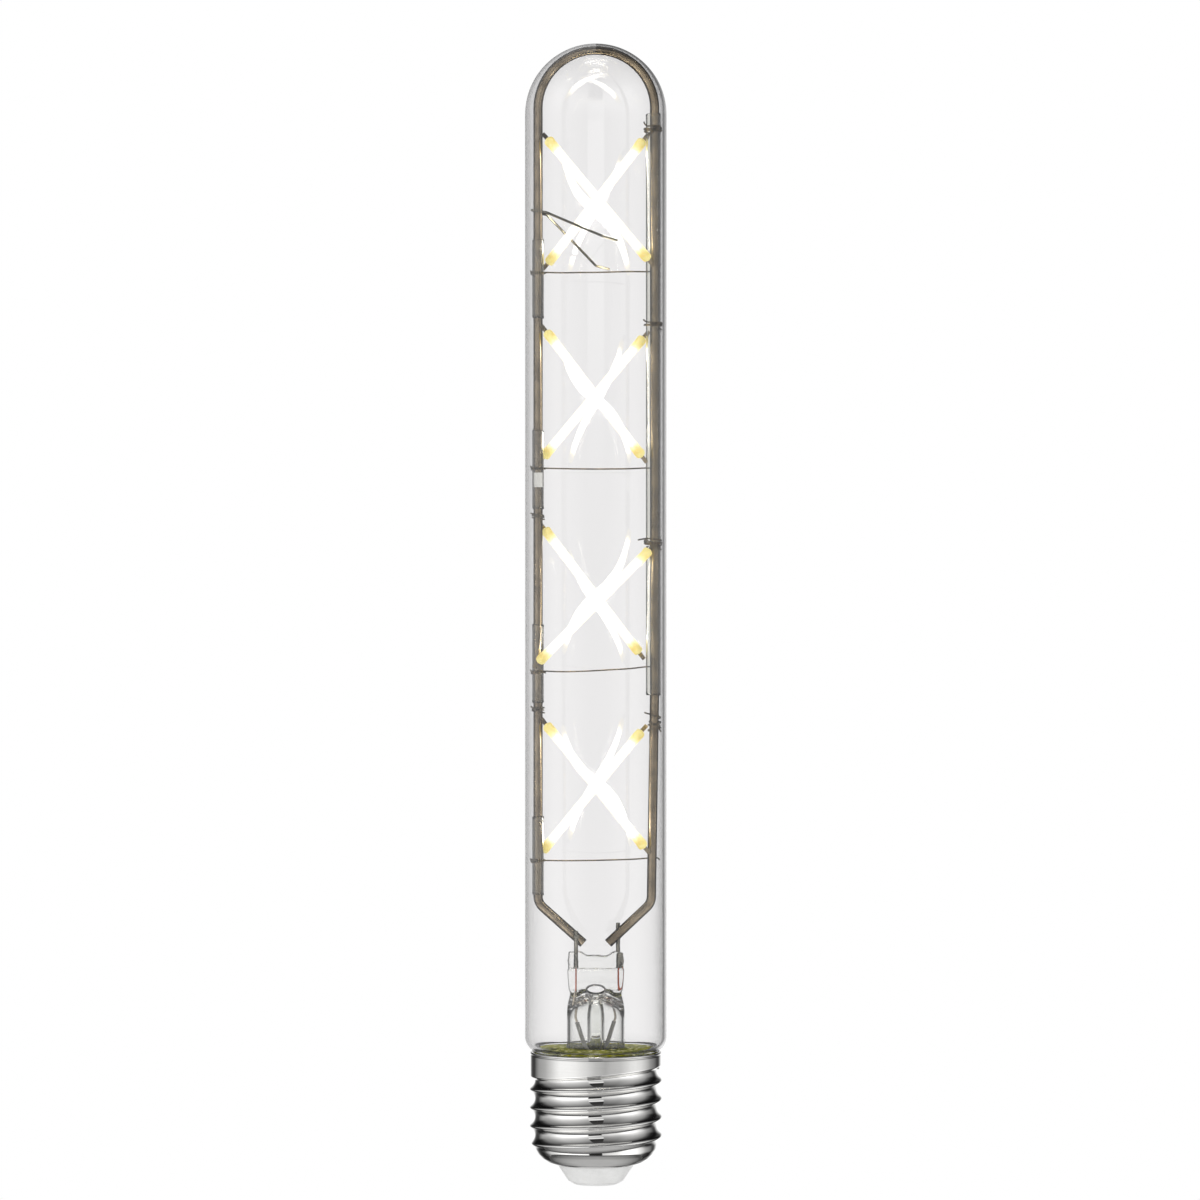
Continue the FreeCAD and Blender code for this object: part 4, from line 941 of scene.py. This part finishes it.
def makeStudio():
    settings = {
        # Brightness seen from the lamp, by the angle round it from the front, and by the height
        "around": [
            (-180, 1.0), (-168, 0.55), (-160, 0.15), (-150, 0.05), (-138, 0.05), (-131, 0.17), (-120, 0.33),
            (-110, 0.38), (-101, 0.43), (-88, 0.61), (-76, 0.82), (-66, 0.96), (-46, 0.96), (-36, 0.92),
            (-18, 0.73), (-9, 0.62), (0, 0.52), (17, 0.42), (26, 0.49), (45, 0.56), (64, 0.79), (75, 0.84),
            (87, 0.76), (100, 0.56), (114, 0.3), (129, 0.15), (138, 0.06), (143, 0.05), (149, 0.1),
            (156, 0.4), (167, 0.78), (180, 1.0),
        ],
        "upward": [
            (-90, 0.25), (-62, 0.28), (-46, 0.9), (-32, 1.6), (-18, 1.35), (-8, 1.0), (14, 0.62),
            (34, 0.46), (52, 0.3), (64, 0.16), (76, 0.12),
        ],
        "level": 1.15,
        "overhead": {"from": 76, "full": 80, "level": 0.7},
        # Dark cloths beside the lamp, above and below its level
        "cloth": {"from": 108, "full": 128, "level": -6, "clear": 9, "dark": 20, "share": 0.8},
        # Window in front: where it shows, by height, and its brightness
        "window": {
            "half": 15, "edge": 2,
            "shown": [(-90, 0), (-80, 0), (-76, 1), (-17, 1), (-14, 0), (1, 0), (4, 1), (70, 1), (76, 0)],
            "light": [(-90, 0.02), (-27, 0.02), (-22, 0.8), (16, 0.8), (22, 0.02), (70, 0.05)],
        },
        "behindGlass": -0.05,
    }
    cloth, window, overhead = settings["cloth"], settings["window"], settings["overhead"]
    world = scene.world or bpy.data.worlds.new("studio")
    scene.world = world
    world.use_nodes = True
    tree = world.node_tree
    tree.nodes.clear()
    way = tree.nodes.new("ShaderNodeTexCoord").outputs["Generated"]
    parts = tree.nodes.new("ShaderNodeSeparateXYZ")
    join(tree, way, parts.inputs[0])
    forward = mathNode(tree, "MULTIPLY", parts.outputs["Y"], -1.0)
    turn = mathNode(tree, "ARCTAN2", parts.outputs["X"], forward)
    aside = mathNode(tree, "ABSOLUTE", turn)
    rise = mathNode(tree, "ARCSINE", parts.outputs["Z"])

    def byAngle(value, low, high, start=0.0, end=1.0):
        return spread(tree, value, math.radians(low), math.radians(high), start, end)

    def ramp(value, stops, low, high):
        node = tree.nodes.new("ShaderNodeValToRGB")
        elements = node.color_ramp.elements
        for place, (angle, level) in enumerate(stops):
            at = (angle - low) / (high - low)
            element = elements[place] if place < 2 else elements.new(at)
            element.position = at
            element.color = (level, level, level, 1)
        join(tree, byAngle(value, low, high), node.inputs[0])
        return node.outputs[0]

    studio = addNode(tree, "ShaderNodeBackground", in_Color=(1, 1, 1, 1))
    wide = mathNode(tree, "MULTIPLY", ramp(turn, settings["around"], -180, 180),
                    ramp(rise, settings["upward"], -90, 90))
    offLevel = mathNode(tree, "ABSOLUTE", mathNode(tree, "ADD", rise, -math.radians(cloth["level"])))
    covered = mathNode(tree, "MULTIPLY", byAngle(aside, cloth["from"], cloth["full"]),
                       byAngle(offLevel, cloth["clear"], cloth["dark"], 0, -cloth["share"]))
    wide = mathNode(tree, "MULTIPLY", wide, mathNode(tree, "ADD", covered, 1.0))
    front = byAngle(aside, window["half"], window["half"] - window["edge"])
    shown = mathNode(tree, "MULTIPLY", front, ramp(rise, window["shown"], -90, 90))
    glazed = blendColour(tree, shown, wide, ramp(rise, window["light"], -90, 90))
    lamp = byAngle(rise, overhead["from"], overhead["full"], 0.0, overhead["level"])
    strength = mathNode(tree, "ADD", mathNode(tree, "MULTIPLY", glazed, settings["level"]), lamp)
    join(tree, strength, studio.inputs[1])

    plain = addNode(tree, "ShaderNodeBackground", in_Color=(1, 1, 1, 1))
    path = tree.nodes.new("ShaderNodeLightPath").outputs
    join(tree, mathNode(tree, "MULTIPLY_ADD", path["Is Transmission Ray"], settings["behindGlass"], 1.0),
         plain.inputs[1])
    # Light turned back once inside thin glass still counts as seen through it, on the window side
    shallow = mathNode(tree, "LESS_THAN", path["Transmission Depth"], 2.5)
    bright = byAngle(turn, -90, 90, 0.75, 0.15)
    clean = mathNode(tree, "SUBTRACT", 1.0, mathNode(tree, "MULTIPLY", shallow, bright))
    reflected = mathNode(tree, "MULTIPLY", mathNode(tree, "MINIMUM", path["Glossy Depth"], 1.0), clean)
    # Light bent far aside by the inner glass doesn't come from the white backdrop
    bent = byAngle(aside, 168, 145)
    inner = mathNode(tree, "GREATER_THAN", path["Transmission Depth"], 5.5)
    turned = mathNode(tree, "MAXIMUM", reflected, mathNode(tree, "MULTIPLY", bent, inner))
    through = mathNode(tree, "MULTIPLY", path["Is Transmission Ray"], turned)
    # A ray that goes through smooth glass counts as glossy too
    notThrough = mathNode(tree, "SUBTRACT", 1.0, path["Is Transmission Ray"])
    mirrored = mathNode(tree, "MULTIPLY", path["Is Glossy Ray"], notThrough)
    mix = tree.nodes.new("ShaderNodeMixShader")
    join(tree, mathNode(tree, "MAXIMUM", mirrored, through), mix.inputs[0])
    join(tree, plain.outputs[0], mix.inputs[1])
    join(tree, studio.outputs[0], mix.inputs[2])
    output = tree.nodes.new("ShaderNodeOutputWorld")
    join(tree, mix.outputs[0], output.inputs["Surface"])


def makeCamera():
    settings = {"lens": 139.5, "sensor": 36, "clipStart": 0.01, "place": (0.00083, -0.92, 0.1155), "tilt": 90}
    lens = bpy.data.cameras.new("camera")
    lens.lens = settings["lens"]
    lens.sensor_width = settings["sensor"]
    lens.clip_start = settings["clipStart"]
    camera = bpy.data.objects.new("camera", lens)
    camera.location = settings["place"]
    camera.rotation_euler = (math.radians(settings["tilt"]), 0, 0)
    scene.collection.objects.link(camera)
    scene.camera = camera


makeFloor()
makeStudio()
makeCamera()
scene.view_settings.view_transform = "Standard"
scene.cycles.max_bounces = 28
scene.cycles.transmission_bounces = 28
print("floor, light and camera set")
